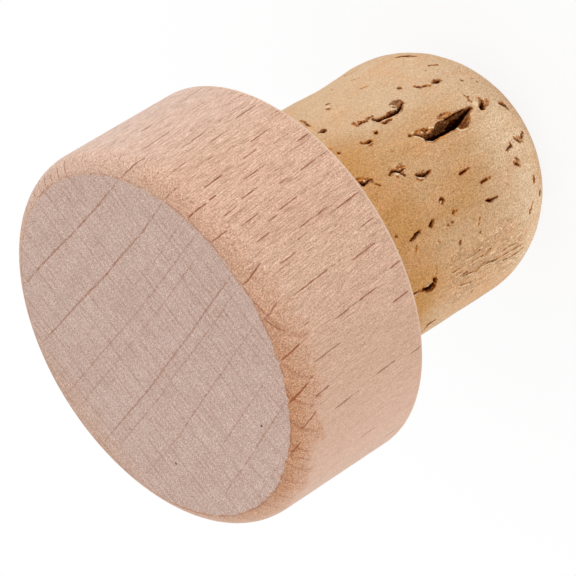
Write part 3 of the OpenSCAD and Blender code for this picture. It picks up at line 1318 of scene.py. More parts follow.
@dataclass
class CorkPlug(TurnedPiece):
    """Plug of natural cork, squeezed into the head's socket, with a large rounded end.

    Attributes:
        radius: Radius below the head.
        length: Length below the head.
        neck_length: Length inside the socket.
        neck_radius: Radius inside the socket.
        neck_chamfer: Chamfer round its glued end.
        end_radius: Radius that rounds off its other end.
        foot_radius: Radius of the ground flat on that end.
        dent_at: Angle and drop of the shallow dent.
        dent_depth: Depth of the dent.
        dent_radius: Radius of the ball that fits the dent.
        back_pits: Number of pits on the back.
        back: First angle of the back, and how far round it goes.
        back_drops: Drop of the highest pit on the back, and how far down they go.
        pit_length: Length of the shortest pit on the back, and how much longer they get.
        pit_lean: Lean of the pits on the back, from the one to the other side.
        uneven: How far the skin lies inside the solid, and the height of its lumps and waves.
        finish: How the cork looks.
        rough: Fine fields that make the marks' edges wander.
        lumps: Field of the skin's lumps.
        waves: Field of its smaller waves.
        strokes: Marks along lines: the tone, then points as (angle, drop, width).
        hollows: Marks with outlines: the tone, the datum as (angle, drop), then corners as
            (distance to the right, distance up) from it.
    """

    radius: float
    length: float
    neck_length: float
    neck_radius: float = 9.65
    neck_chamfer: float = 0.7
    end_radius: float = 8.0
    foot_radius: float = 5.25
    dent_at: tuple[float, float] = (37, 12.6)
    dent_depth: float = 0.22
    dent_radius: float = 24.86
    back_pits: int = 16
    back: tuple[float, float] = (52, 164)
    back_drops: tuple[float, float] = (1.5, 18)
    pit_length: tuple[float, float] = (0.5, 0.8)
    pit_lean: tuple[float, float] = (-15, 15)
    uneven: tuple[float, float, float] = (0.06, 0.035, 0.02)
    finish: CorkFinish = field(default_factory=CorkFinish)

    datum: ClassVar[int] = 4
    coarse: ClassVar[float] = 0.26
    plain: ClassVar[tuple[float, float]] = (0.25, 1.0)
    rough: ClassVar[tuple[Ripple, Ripple]] = (
        Ripple(5, (0.17, 0.17, 0.22)), Ripple(6, (0.09, 0.09, 0.11))
    )
    lumps: ClassVar[Ripple] = Ripple(11, (3.1, 3.1, 5.3))
    waves: ClassVar[Ripple] = Ripple(12, (0.9, 0.9, 1.4))

    strokes: ClassVar[Table] = (
        # Upper side, near the head
        (Tone.CORE, (3.8, 7.75, 0.2)),
        (Tone.BARK, (7.4, 8.25, 0.15), (6.8, 8.45, 0.15)),
        (Tone.PALE, (5.6, 7.9, 0.18), (5, 8.1, 0.18)),
        (Tone.CORE, (-6.5, 4.95, 0.1), (-7.5, 5.15, 0.22), (-7.2, 5.4, 0.3)),
        (Tone.PORE, (6.8, 5.45, 0.1), (4.2, 5.35, 0.1), (1.5, 5.15, 0.1), (-0.2, 5.1, 0.1)),
        (Tone.BARK, (-17.8, 4.1, 0.25)),
        (Tone.PORE, (-21.8, 4.35, 0.25)),
        (Tone.CORE, (-23.2, 6.45, 0.12), (-24.5, 6.78, 0.22), (-24.5, 7.15, 0.2), (-24.8, 7.3, 0.12)),
        (Tone.BARK, (-25.2, 7.05, 0.3), (-26.3, 6.85, 0.2)),
        (Tone.CORE, (-22.5, 8.15, 0.3)),
        (Tone.CORE, (-9, 13.1, 0.25)),
        (Tone.SMEAR, (-7.8, 16.2, 0.14)),
        (Tone.PORE, (-5.8, 16.95, 0.08), (-7, 17.65, 0.08)),
        # Vein of pits on the upper side, and the crack further down it
        (Tone.CORE, (-14.4, 7.6, 0.12), (-14.2, 8.05, 0.2), (-15, 8.45, 0.1)),
        (Tone.BARK, (-12.4, 7.6, 0.16), (-13.6, 7.5, 0.2), (-14.6, 7.5, 0.2)),
        (Tone.BARK, (-12.8, 7.95, 0.12)),
        (Tone.BARK, (-14.2, 8.65, 0.2), (-14.5, 9.15, 0.2)),
        (Tone.CORE, (-16.2, 9, 0.16), (-17.6, 9.1, 0.3), (-18.2, 9.5, 0.28), (-18.5, 9.95, 0.3),
         (-18.6, 10.4, 0.4), (-19, 10.65, 0.36), (-18.8, 11.15, 0.32), (-18, 11.5, 0.32),
         (-16.5, 12, 0.16)),
        (Tone.PALE, (-16.2, 10.89, 0.1), (-14.9, 11.0, 0.1), (-14.7, 11.3, 0.1), (-16.2, 11.41, 0.1),
         (-17.5, 11.25, 0.1), (-17.3, 11.0, 0.1), (-16.2, 10.89, 0.1)),
        (Tone.PORE, (-16.2, 11.15, 0.12)),
        (Tone.CORE, (-20.5, 9.35, 0.22), (-20.5, 9.95, 0.14)),
        (Tone.BARK, (-20.9, 9.6, 0.3)),
        (Tone.CORE, (-12.8, 14.1, 0.16), (-14.5, 14.3, 0.18)),
        (Tone.CORE, (-14.8, 14.5, 0.14), (-16, 15, 0.16)),
        (Tone.CORE, (-15.8, 15.5, 0.2), (-16.3, 15.8, 0.38), (-16.4, 16.1, 0.2)),
        (Tone.CORE, (-15.2, 15.8, 0.1)),
        # Inside and round the great crevice
        (Tone.DEEP, (-37, 11, 0.2), (-38.1, 11.5, 0.45), (-37.9, 12.4, 0.5), (-38.3, 13.6, 0.55),
         (-37.9, 14.3, 0.6), (-36.4, 15.2, 0.4), (-35.5, 16.1, 0.2)),
        (Tone.DARK, (-34, 13.55, 0.15), (-34, 14.45, 0.15), (-34.6, 15.4, 0.15)),
        (Tone.BARK, (-31.8, 13.3, 0.3), (-32.3, 13.9, 0.35), (-32.6, 14.3, 0.2)),
        (Tone.PALE, (-33.4, 11.15, 0.2)),
        (Tone.PALE, (-34.9, 11.5, 0.16)),
        (Tone.PALE, (-33.6, 11.95, 0.2), (-34.2, 12.2, 0.14)),
        (Tone.PALE, (-36.2, 11.05, 0.14)),
        (Tone.DARK, (-34.2, 11.35, 0.14), (-33.8, 11.65, 0.16)),
        (Tone.DARK, (-35.4, 11.9, 0.14), (-35.6, 12.5, 0.12)),
        (Tone.DARK, (-32.6, 11.3, 0.14)),
        (Tone.PALE, (-31.3, 10.5, 0.2)),
        (Tone.CORE, (-32, 10.1, 0.2)),
        (Tone.BARK, (-38.8, 11.6, 0.08), (-39.8, 12.35, 0.14)),
        # Rounded end below the great crevice
        (Tone.CORE, (-37.8, 17.1, 0.5), (-36.9, 17.4, 0.4), (-35.6, 17.6, 0.25)),
        (Tone.BARK, (-36, 17.3, 0.3), (-34, 17.6, 0.25), (-33, 17.45, 0.2)),
        (Tone.BARK, (-37, 17.8, 0.35), (-35.8, 18.2, 0.25)),
        (Tone.BARK, (-29.2, 16.55, 0.12), (-30.5, 16.7, 0.14), (-32.2, 16.55, 0.16), (-33.2, 16.6, 0.1)),
        (Tone.PALE, (-35, 16.8, 0.5)),
        (Tone.PORE, (11.5, 16.55, 0.14), (10.8, 16.85, 0.25), (9.5, 17.15, 0.3), (7.5, 17.35, 0.25),
         (5.8, 17.65, 0.12)),
        (Tone.BARK, (11, 16.85, 0.35), (8.5, 17.25, 0.5), (6.5, 17.5, 0.3)),
        (Tone.PALE, (6.2, 16.6, 0.25), (3.8, 16.9, 0.25)),
        (Tone.ASH, (-21.5, 17.7, 0.22)),
        (Tone.ASH, (-16, 18.7, 0.14)),
        (Tone.ASH, (-21.8, 19.05, 0.16)),
        (Tone.BARK, (-24.5, 19.2, 0.14)),
        (Tone.CORE, (-39.6, 19.4, 0.18), (-41, 19.95, 0.42), (-43, 20.1, 0.3)),
        (Tone.PALE, (-42, 20.75, 0.15)),
        (Tone.CORE, (-57, 18.3, 0.12), (-58.5, 18.5, 0.14), (-59.8, 18.7, 0.16)),
        (Tone.CORE, (-59.2, 19.5, 0.2), (-58.4, 19.5, 0.2), (-57.5, 20.2, 0.08)),
        (Tone.BARK, (-58, 18.7, 0.3), (-59.8, 19.2, 0.35), (-58, 19.8, 0.25)),
        (Tone.PORE, (-59.5, 16.8, 0.16), (-59, 17.1, 0.16), (-59, 17.45, 0.2), (-57.6, 17.5, 0.08)),
        (Tone.PORE, (-66.2, 16.95, 0.14), (-67.5, 17.25, 0.25), (-68.4, 17.4, 0.14)),
        (Tone.BARK, (-65, 17.4, 0.3), (-66.5, 17.4, 0.4)),
        (Tone.PORE, (-78.6, 19.1, 0.14), (-80.6, 18.85, 0.2)),
        (Tone.BARK, (-78.8, 19.0, 0.35), (-80, 18.9, 0.35)),
        (Tone.CORE, (-91.6, 17.6, 0.26), (-92.2, 17.55, 0.2)),
        (Tone.BARK, (-91, 17.8, 0.3)),
        (Tone.PORE, (-90.2, 17.9, 0.08), (-89, 18.1, 0.06)),
        (Tone.ASH, (-90, 19.8, 0.5)),
        # Middle of the side
        (Tone.CORE, (-41.9, 6.4, 0.15), (-41.2, 6.75, 0.2), (-41.8, 7, 0.22), (-43, 7.25, 0.2),
         (-42.8, 7.65, 0.12), (-42.8, 7.85, 0.1)),
        (Tone.BARK, (-41.1, 7.35, 0.2), (-41.2, 7.7, 0.3), (-42.5, 7.9, 0.2)),
        (Tone.CORE, (-43.4, 7.25, 0.12), (-44, 7.3, 0.14), (-45.5, 7.45, 0.12)),
        (Tone.CORE, (-44.2, 6.85, 0.14)),
        (Tone.PALE, (-43, 6.95, 0.25), (-43.4, 7, 0.2)),
        (Tone.PALE, (-42, 7.45, 0.15)),
        (Tone.CORE, (-48, 8.35, 0.14), (-48.8, 8.55, 0.2), (-49.8, 8.85, 0.26), (-49.8, 9.1, 0.22),
         (-49.5, 9.55, 0.14)),
        (Tone.BARK, (-48.8, 8.3, 0.1), (-49.6, 8.2, 0.1), (-50.6, 8.35, 0.12), (-50.9, 8.65, 0.12),
         (-50.4, 8.9, 0.1)),
        (Tone.PALE, (-49.8, 8.5, 0.2)),
        (Tone.SMEAR, (-48.2, 8.7, 0.2), (-48.4, 9.1, 0.2)),
        (Tone.CORE, (-37.5, 3.85, 0.12), (-39.3, 3.95, 0.3), (-39.3, 4.3, 0.25), (-39.1, 4.6, 0.16),
         (-39.2, 4.85, 0.1)),
        (Tone.BARK, (-36.5, 3.9, 0.3), (-37.2, 4.3, 0.3)),
        (Tone.BARK, (-40.2, 4.7, 0.2)),
        (Tone.PALE, (-38.3, 4.25, 0.2)),
        (Tone.PORE, (-42.5, 4.9, 0.1), (-43.2, 5.05, 0.12)),
        (Tone.SMEAR, (-33.5, 7.95, 0.25)),
        (Tone.SMEAR, (-39, 6.8, 0.25)),
        (Tone.CORE, (-57.5, 11.85, 0.2), (-57.5, 12.25, 0.18), (-57.2, 12.8, 0.1)),
        (Tone.PORE, (-65.5, 13.3, 0.24), (-65.5, 13.75, 0.18), (-65.4, 14.2, 0.08)),
        (Tone.CORE, (-62.8, 9.05, 0.12), (-62.2, 9.25, 0.14), (-62.9, 9.4, 0.14), (-64, 9.15, 0.16)),
        (Tone.PALE, (-63.2, 9.1, 0.12)),
        (Tone.CORE, (-69.6, 9.9, 0.14), (-70.4, 9.8, 0.18)),
        (Tone.BARK, (-70, 10.15, 0.18)),
        (Tone.CORE, (-73.5, 13.1, 0.12), (-74.5, 13.45, 0.28), (-74.8, 13.9, 0.12), (-74.8, 14.2, 0.07)),
        (Tone.BARK, (-78.8, 12.05, 0.12), (-81, 11.85, 0.12)),
        (Tone.PALE, (-78.9, 11.9, 0.1), (-81, 11.7, 0.1)),
        (Tone.PORE, (-85.2, 11.85, 0.16)),
        (Tone.CORE, (-68.2, 7.7, 0.2), (-69, 7.55, 0.3), (-69.7, 7.4, 0.3)),
        (Tone.PORE, (-83.6, 9.75, 0.12), (-84.8, 9.65, 0.14)),
        (Tone.BARK, (-77.6, 7.65, 0.14), (-78.2, 7.75, 0.12)),
        (Tone.PALE, (-78.1, 7.55, 0.14)),
        (Tone.CORE, (-70.6, 5.2, 0.2), (-70, 5.55, 0.18), (-69.5, 5.9, 0.25), (-69.2, 6.2, 0.22)),
        (Tone.BARK, (-74.2, 5.55, 0.1), (-76, 5.35, 0.1)),
        (Tone.PORE, (-65.5, 4.1, 0.2)),
        (Tone.PORE, (-73.5, 9.4, 0.1)),
        (Tone.PORE, (-73.8, 8.95, 0.1)),
        # The three-cornered hole near the head, and the thin crack that runs to it
        (Tone.DEEP, (-95, 5.5, 0.15), (-96.3, 5.9, 0.35), (-96.4, 6.3, 0.6), (-96.2, 6.6, 0.5),
         (-94.5, 6.8, 0.28), (-93.2, 6.65, 0.2)),
        (Tone.BARK, (-97.6, 6.2, 0.3)),
        (Tone.CORE, (-95, 5.25, 0.1), (-94.8, 4.75, 0.12), (-94.6, 4.5, 0.12)),
        (Tone.PALE, (-94.6, 5.9, 0.12), (-94.2, 6.3, 0.12)),
        (Tone.SMEAR, (-88.2, 7, 0.08), (-92, 6.95, 0.1)),
        (Tone.SMEAR, (-116.5, 11.5, 0.35)),
        (Tone.BARK, (-124.2, 6.9, 0.25), (-121.5, 7, 0.25), (-122, 7.7, 0.2)),
        (Tone.BARK, (-126.5, 6.85, 0.2)),
        # Folds
        (Tone.FOLD, (-101.8, 9.85, 0.12), (-102.5, 10.65, 0.15), (-103.5, 11.3, 0.15),
         (-102.8, 11.6, 0.14), (-102, 12, 0.14), (-102, 12.6, 0.1)),
        (Tone.FOLD, (-103.2, 12.1, 0.12), (-103, 12.6, 0.15), (-104.5, 13.4, 0.15), (-104.8, 14, 0.15),
         (-105, 14.95, 0.14), (-105.5, 15.6, 0.12), (-106, 16.35, 0.1)),
        (Tone.FOLD, (-108.2, 14.4, 0.12), (-109, 15.3, 0.15), (-109.5, 16.1, 0.14), (-109.5, 16.8, 0.1)),
        (Tone.FOLD, (-102, 14.35, 0.1), (-101.8, 15.05, 0.14), (-103, 15.85, 0.1)),
        (Tone.FOLD, (-97.2, 10.75, 0.1), (-97.2, 11.45, 0.14), (-97.5, 12.2, 0.14), (-96.5, 12.8, 0.1)),
        (Tone.FOLD, (-93.8, 10.25, 0.1), (-94, 11, 0.12), (-93, 11.6, 0.1)),
        (Tone.FOLD, (-96.2, 8.65, 0.1), (-96.5, 9.4, 0.12)),
        (Tone.FOLD, (-99, 9.1, 0.1), (-99, 9.75, 0.12)),
        (Tone.FOLD, (-100.8, 9.55, 0.1), (-100.8, 10.3, 0.12)),
        (Tone.FOLD, (-106.5, 9.7, 0.1), (-108.8, 10.85, 0.12)),
        (Tone.FOLD, (17.5, 12.05, 0.1), (14.5, 12.3, 0.14), (13, 12.7, 0.1)),
        (Tone.SMEAR, (3.8, 11.3, 0.12), (3.2, 11.8, 0.12)),
        (Tone.SMEAR, (17.2, 10.6, 0.3)),
        (Tone.SMEAR, (26.8, 13.25, 0.2), (25, 13.45, 0.2), (24, 13.85, 0.2), (23.5, 14.3, 0.15)),
        # Painted shadow along the edge of the dent, drawn as bark
        (Tone.BARK, (30.8, 12.9, 0.1), (30.4, 13.6, 0.1)),
    )

    hollows: ClassVar[Table] = (
        (Tone.WALL, (-37, 13), (0.79, 2.8), (0.72, 2.3), (0.45, 1.9), (0.25, 1.4), (0.35, 0.8),
         (0.55, 0.45), (0.66, 0), (0.52, -0.5), (0.52, -1.4), (0.43, -2.3), (0.26, -3.1),
         (-0.05, -2.2), (-0.3, -1.5), (-0.5, -0.95), (-0.43, -0.5), (-0.31, 0.4), (-0.28, 0.9),
         (-0.35, 1.6), (-0.14, 1.9), (0.09, 2.1), (0.43, 2.3), (0.69, 2.6)),
        (Tone.BARK, (-37, 13), (0.79, 2.7), (1.0, 2.2), (0.86, 1.7), (0.62, 1.1), (0.35, 0.8),
         (0.25, 1.4), (0.45, 1.9), (0.72, 2.3)),
        (Tone.LEDGE, (-37, 13), (0.26, -3.1), (-0.31, -2.55), (-0.97, -1.75), (-0.78, -1.1),
         (-0.5, -0.95), (-0.3, -1.5), (-0.05, -2.2)),
        (Tone.DARK, (-37, 13), (0.21, -3.1), (0.09, -2.5), (-0.03, -1.7), (-0.17, -1.05),
         (-0.31, -0.4), (-0.17, 0.25), (-0.21, 1.05), (-0.21, 1.7), (0.17, 2.0), (0.09, 1.4),
         (0.04, 0.4), (0.09, -0.45), (0.31, -1.05), (0.26, -1.9)),
        (Tone.ASH, (-15.2, 11.5), (-0.42, 0.3), (0.1, 0.55), (0.32, 0.25), (0.3, -0.3),
         (0.12, -0.7), (-0.2, -0.45), (-0.45, -0.15)),
    )

    @classmethod
    def from_frame(cls) -> "CorkPlug":
        """Takes the driving sizes from the CAD model.

        Returns:
            The plug, between its foot and the end inside the socket.
        """
        radius, foot, top = span("cork_plug")
        underside = span("wooden_head")[1]
        return cls(radius, round(underside - foot, 2), round(top - underside, 2))

    def outline(self) -> Rows:
        """Draws the half section.

        Returns:
            Its points, from the glued end to the foot.
        """
        centre = self.radius - self.end_radius
        turn = math.degrees(math.acos((self.foot_radius - centre) / self.end_radius))
        end_z = self.end_radius * math.sin(math.radians(turn))
        top = self.length + self.neck_length
        return (
            (0, top),
            (self.neck_radius - self.neck_chamfer, top),
            (self.neck_radius, top - self.neck_chamfer),
            (self.neck_radius, self.length),
            (self.radius, self.length),
            *arc((centre, end_z), self.end_radius, 0, -turn),
            (0, 0),
        )

    @functools.cached_property
    def marks(self) -> list[Mark]:
        """Every pit, crack, fold and hollow.

        Returns:
            The marks, those on the back last.
        """
        made: list[Mark] = [Stroke(tone, tuple(line)) for tone, *line in self.strokes]
        made += [Hollow(tone, at, tuple(corners)) for tone, at, *corners in self.hollows]
        for number in range(1, self.back_pits + 1):
            made += self._back_pit(number)
        return made

    def _back_pit(self, number: int) -> list[Mark]:
        """Makes a pit on the back, with bark beside it and a pinprick near by.

        Args:
            number: Which pit it is, from 1 up. It picks the pit's place and size.

        Returns:
            Its marks.
        """
        (first, sweep), (highest, down) = self.back, self.back_drops
        (shortest, longer), (left, right) = self.pit_length, self.pit_lean
        length = shortest + longer * (number * GOLDEN * 3 % 1)
        angle = first + sweep * (number * GOLDEN % 1)
        drop = highest + down * (number - 0.5) / self.back_pits
        lean = left + (right - left) * (number * GOLDEN * 5 % 1)
        width, half, mean_radius = length * 0.3, length / 2, 8.5
        aside = math.degrees(half * math.sin(math.radians(lean)) / mean_radius)
        bend = 2 * (number % 2) - 1
        pit = (
            (angle + aside, drop - half, width * 0.35),
            (angle + bend, drop - half * 0.2, width),
            (angle - aside * 0.6, drop + half * 0.45, width * 0.8),
            (angle - aside, drop + half, width * 0.3),
        )
        bark = (
            (angle - bend * 1.4, drop - half * 0.3, width * 0.8),
            (angle - bend * 0.8, drop + half * 0.6, width * 0.6),
        )
        pinprick = ((angle + 7.5 * bend, drop + 1.1 * bend + 0.3, 0.16),)
        fleck = ((angle - 5 * bend, drop - 1.6, 0.12), (angle - 6 * bend, drop - 1.2, 0.16))
        return [
            Stroke(Tone.CORE, pit),
            Stroke(Tone.BARK, bark),
            Stroke(Tone.PORE, pinprick),
            Stroke(Tone.BARK, fleck),
        ]

    def wanted(self, places: Places) -> np.ndarray:
        """Picks the size of the mesh cells: fine at the marks, coarse inside the socket.

        Args:
            places: Places on the skin.

        Returns:
            Size in mm at each.
        """
        wanted = np.where(places.drop > 0, *self.plain)
        for mark in self.marks:
            where = mark.touched(places)
            wanted[where] = np.minimum(wanted[where], mark.cell())
        return wanted

    def shape(self, relief: Relief) -> None:
        """Cuts the marks and the dent, and makes the skin uneven below the head.

        Args:
            relief: The skin.
        """
        coarser, finer = (ripple.at(relief.points) for ripple in self.rough)
        rough = coarser + 0.6 * finer
        for mark in self.marks:
            mark.cut(relief, rough)
        for mark in self.marks:
            mark.lay_lip(relief, rough)
        relief.depth += self._dent(relief.places)
        inset, lump, wave = self.uneven
        uneven = inset + lump * self.lumps.at(relief.points) + wave * self.waves.at(relief.points)
        relief.depth += ease(relief.places.drop, -0.2, 0.3) * uneven

    def _dent(self, places: Places) -> np.ndarray:
        """Presses the shallow dent.

        Args:
            places: Places on the skin.

        Returns:
            Its depth at each.
        """
        aside, above = places.seen_from(self.dent_at)
        ball = (aside**2 + above**2) / (2 * self.dent_radius)
        return np.maximum(0, self.dent_depth - ball - aside**2 / (2 * self.radius))

    def build(self) -> bpy.types.Object:
        """Builds the plug.

        Returns:
            The piece that stands for the plug.
        """
        piece = self.turn("cork_plug_skin")
        piece.data.materials.append(CorkRecipe(self.finish).material)
        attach(piece, BODY)
        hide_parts("cork_plug")
        return piece


@dataclass(frozen=True)
class Ray:
    """Ray of the wood where it comes out at the skin.

    Attributes:
        path: Points along it in mm, one row each.
        width: Its width in mm.
        strength: How dark it is, from 0 to 1.
        cell: Size of the mesh cells that show it.
        margin: Distance round it that it still touches.
    """

    path: np.ndarray
    width: float
    strength: float
    cell: float = 0.06
    margin: ClassVar[float] = 0.1

    def touched(self, points: np.ndarray) -> np.ndarray:
        """Finds the places that the ray touches.

        Args:
            points: Places in mm, one row each.

        Returns:
            Their indices.
        """
        reach = self.width / 2 + self.margin + self.cell
        low, high = self.path.min(axis=0) - reach, self.path.max(axis=0) + reach
        where = np.flatnonzero(((points > low) & (points < high)).all(axis=1))
        return where[self.inside(points[where]) > -self.margin]

    def inside(self, points: np.ndarray) -> np.ndarray:
        """Measures from the ray, which tapers at both ends.

        Args:
            points: Places in mm, one row each.

        Returns:
            How far each lies inside the ray, in mm, negative outside it.
        """
        best = np.full(len(points), -FAR)
        lengths = np.linalg.norm(np.diff(self.path, axis=0), axis=1)
        before = 0.0
        for (first, last), length in zip(itertools.pairwise(self.path), lengths, strict=True):
            step = last - first
            share = np.clip((points - first) @ step / (step @ step), 0, 1)
            away = np.linalg.norm(points - first - share[:, None] * step, axis=1)
            along = (before + share * length) / lengths.sum()
            taper = np.sqrt(np.clip(1 - (2 * along - 1) ** 4, 0, 1))
            best = np.maximum(best, self.width / 2 * taper - away)
            before += length
        return best


@dataclass(frozen=True)
class RayKind:
    """Kind of ray, which says what the strength of a ray does.

    Attributes:
        width: Width in mm of the faintest, and how much wider the strongest is.
        dark: How dark the faintest is, and how much darker the strongest is.
        cell: Size of the mesh cells that show it.
    """

    width: tuple[float, float]
    dark: tuple[float, float]
    cell: float

    def ray(self, path: np.ndarray, strength: float) -> Ray:
        """Ray of this kind along a path."""
        (thin, wider), (faint, darker) = self.width, self.dark
        return Ray(path, thin + wider * strength, faint + darker * strength, self.cell)


@dataclass
class WoodenHead(TurnedPiece):
    """Turned beech head with a flat face, a rounded edge and a blind socket.

    Attributes:
        radius: Radius of the head.
        height: Height of the head.
        underside: Height of its underside above the foot.
        edge_radius: Radius of the round-over.
        edge_width: Width of the round-over seen from above.
        arris: Width of the arris at the lower rim.
        socket_radius: Radius of the socket.
        socket_depth: Depth of the socket.
        mouth_radius: Radius of the socket's mouth.
        back_flecks: Number of rays on the side at the back.
        back: First angle of the back, and how far round it goes.
        ray_depth: How far the rays and specks are sunk.
        ray_wander: How far their edges wander.
        finish: How the wood looks.
        rim: Index of the outline's point at which the side ends.
        rough: Fine field that makes the edges wander.
        side_kind: Kind of the rays on the side.
        face_kind: Kind of the rays on the face.
        flecks: Rays on the side: (angle, upper drop, lower drop, strength).
        edge_strokes: Rays on the round-over: strength and width, then points as (angle,
            distance past the face's rim).
        face_rays: Rays on the face: strength, then points as (distance along the rays,
            distance across them).
        specks: Specks on the face: (distance along the rays, distance across them, width).
        speck_step: Way from one end of a speck to the other, along and across the rays.
    """

    radius: float
    height: float
    underside: float
    edge_radius: float = 1.9
    edge_width: float = 1.3
    arris: float = 0.25
    socket_radius: float = 9.75
    socket_depth: float = 4.0
    mouth_radius: float = 10.0
    back_flecks: int = 60
    back: tuple[float, float] = (26, 214)
    ray_depth: float = 0.015
    ray_wander: float = 0.02
    finish: BeechFinish = field(default_factory=BeechFinish)

    datum: ClassVar[int] = 0
    rim: ClassVar[int] = -5
    coarse: ClassVar[float] = 0.4
    plain: ClassVar[tuple[float, float]] = (0.5, 2.0)
    rough: ClassVar[Ripple] = Ripple(21, (0.15, 0.15, 0.4))
    side_kind: ClassVar[RayKind] = RayKind((0.08, 0.05), (0.4, 0.55), 0.055)
    face_kind: ClassVar[RayKind] = RayKind((0.11, 0.06), (0.1, 0.45), 0.075)

    flecks: ClassVar[Rows] = (
        (18.5, 1.6, 2.3, 0.5), (18, 9.2, 12.3, 0.4), (13.2, 4.3, 6.3, 0.5), (22.5, 4.5, 6, 0.4),
        (21, 6.5, 9, 0.3), (4.3, 2, 6, 0.6), (8.8, 8.3, 10.2, 0.55), (2, 10.8, 12.2, 0.6),
        (-4, 4, 6.7, 0.9), (-2.6, 7.5, 9.3, 0.5), (-5, 9.2, 11.6, 0.8), (-10.1, 1.8, 3.2, 0.6),
        (-8, 5.7, 7.9, 0.55), (-13.3, 3, 5, 0.5), (-11, 11.8, 12.3, 0.6), (-15.1, 8, 10.4, 0.85),
        (-18.8, 6.4, 8, 0.5), (-20.2, 2.1, 4.2, 0.95), (-19.6, 9.1, 10.9, 0.55),
        (-24.4, 1.6, 2.4, 0.9), (-24.3, 5, 7.6, 0.7), (-22.9, 10.7, 12.3, 1), (-30.5, 1.5, 3, 0.6),
        (-28.9, 3.6, 5.5, 0.95), (-30.9, 6.9, 8, 0.6), (-27, 7.4, 8.2, 0.6),
        (-30.5, 8.6, 12.3, 0.75), (-35.4, 1.9, 4, 0.6), (-38.3, 4, 5.1, 0.5), (-37, 5.3, 7.4, 0.75),
        (-41.3, 2.2, 3.9, 0.6), (-40.8, 8.6, 10, 0.5), (-43.9, 5.8, 9, 0.75),
        (-44.9, 8.9, 12, 0.85), (-46.6, 5.1, 6.3, 0.55), (-49.5, 2.8, 4.7, 0.65),
        (-52.7, 10, 11.9, 0.6), (-58, 2.4, 8, 0.6), (-58.8, 8.3, 11, 0.7), (-66.5, 11, 12.4, 0.7),
        (-67.2, 2, 3, 0.4), (-69.8, 4.8, 9.6, 0.7), (-77.5, 2, 4.9, 0.6), (-75.3, 10.2, 12, 0.8),
        (-87, 1.5, 2.9, 0.7), (-94.5, 3, 6, 0.7), (-92.3, 7, 9.6, 0.7), (-93, 11, 12.3, 0.7),
        (-82, 9, 10, 0.4), (-113.3, 6.3, 8, 0.6),
    )
    edge_strokes: ClassVar[Table] = (
        (0.7, 0.13, (-60.6, 0.18), (-60, 0.81), (-59.2, 1.08), (-58, 1.68)),
        (1.0, 0.15, (-74.2, 0.12), (-72.8, 0.84), (-70.8, 1.98)),
        (0.6, 0.1, (-81.6, 1.77), (-81.2, 2.28)),
        (1.0, 0.18, (-88.4, 0), (-85.6, 0.69), (-82, 1.8)),
        (0.8, 0.12, (-87.6, 1.98), (-86.6, 3.45)),
        (0.8, 0.13, (-96.8, 0.78), (-91.6, 2.04)),
        (0.8, 0.15, (-106.6, 0.18), (-101.4, 0.81)),
        (0.7, 0.12, (4.4, 0.06), (1.8, 0.87), (0.8, 1.5), (-0.4, 2.22)),
        (0.6, 0.12, (-14, 0.15), (-15.6, 1.68)),
        (0.9, 0.13, (-23.4, 0.1), (-24.2, 0.93), (-25, 2)),
        (0.8, 0.12, (-33.6, 0.03), (-34.2, 0.75), (-34.4, 1.6)),
        (0.8, 0.14, (-49, 0), (-49, 0.54), (-47.8, 1.35), (-46.6, 2.19)),
        (0.5, 0.12, (-54.6, 0.15), (-59.2, 0.48)),
        (0.6, 0.12, (-60.8, 0.24), (-64, 0.72), (-66.2, 1.26)),
        (0.6, 0.12, (-82.8, 0), (-85.2, 0.36)),
        (0.5, 0.1, (-108.2, 0.06), (-107.6, 0.9), (-109.2, 1.77)),
        (0.4, 0.1, (-121.8, 0.12), (-122.4, 1.05)),
        (0.4, 0.1, (-129.2, 0.33), (-128.4, 0.78)),
        (0.4, 0.1, (-135.2, 0.09), (-133.8, 0.9)),
        (0.5, 0.08, (-33.8, 0.03), (-36.8, 0.01), (-39.4, 0.01), (-42.6, 0.06)),
    )
    face_rays: ClassVar[Table] = (
        (1.1, (-9, 10.45), (-5, 10.35), (-2, 10.2), (0, 10.05), (2, 9.95), (5, 9.85), (9.6, 9.8)),
        (0.35, (-5, 13), (-2, 12.8)),
        (0.35, (1, 12.5), (6, 12.5)),
        (1.1, (-12, 6.6), (-8, 6.45), (-4, 6.35), (1, 6.1), (3, 6.15), (8, 6.05), (12, 6.3)),
        (0.5, (2, 4.05), (6, 3.95), (9, 4.1), (13.2, 4.35)),
        (0.65, (-13.2, 2.55), (-8, 2.6), (0, 2.55), (4, 2.6), (7, 2.7), (13.4, 2.95)),
        (0.5, (-13.6, 1.2), (-8, 1.3), (-3, 1.35), (2, 1.4), (6, 1.55), (13.5, 1.95)),
        (0.95, (-13.4, -1.95), (-3, -1.85), (0, -1.65), (5, -1.45), (8, -1.2), (13.6, -0.9)),
        (0.6, (-11.5, -3), (-3, -2.85), (0, -2.6), (7, -2.3), (10, -2.1), (13.5, -1.75)),
        (0.7, (-12, -6), (-4, -5.85), (-2, -5.6), (3, -5.2), (6, -5), (12.8, -4.4)),
        (0.65, (-1, -8.7), (2, -8.4), (5, -8.1), (8, -7.85), (11.3, -7.3)),
        (0.8, (-4.5, -11.3), (-2, -11), (1, -10.8), (4, -10.4), (7, -10.1), (9.3, -9.8)),
        (0.5, (-1.5, -13.1), (2, -12.8), (5, -12.4)),
    )
    specks: ClassVar[Rows] = ((-7.0, -7.15, 0.2), (4.8, -9.85, 0.28))
    speck_step: ClassVar[tuple[float, float]] = (0.22, 0.18)

    @classmethod
    def from_frame(cls) -> "WoodenHead":
        """Takes the driving sizes from the CAD model.

        Returns:
            The head, on top of the cork.
        """
        radius, underside, top = span("wooden_head")
        return cls(radius, round(top - underside, 2), underside)

    @property
    def top(self) -> float:
        """Height of the end-grain face above the foot."""
        return self.underside + self.height

    @property
    def face_radius(self) -> float:
        """Radius of the flat face."""
        return self.radius - self.edge_width

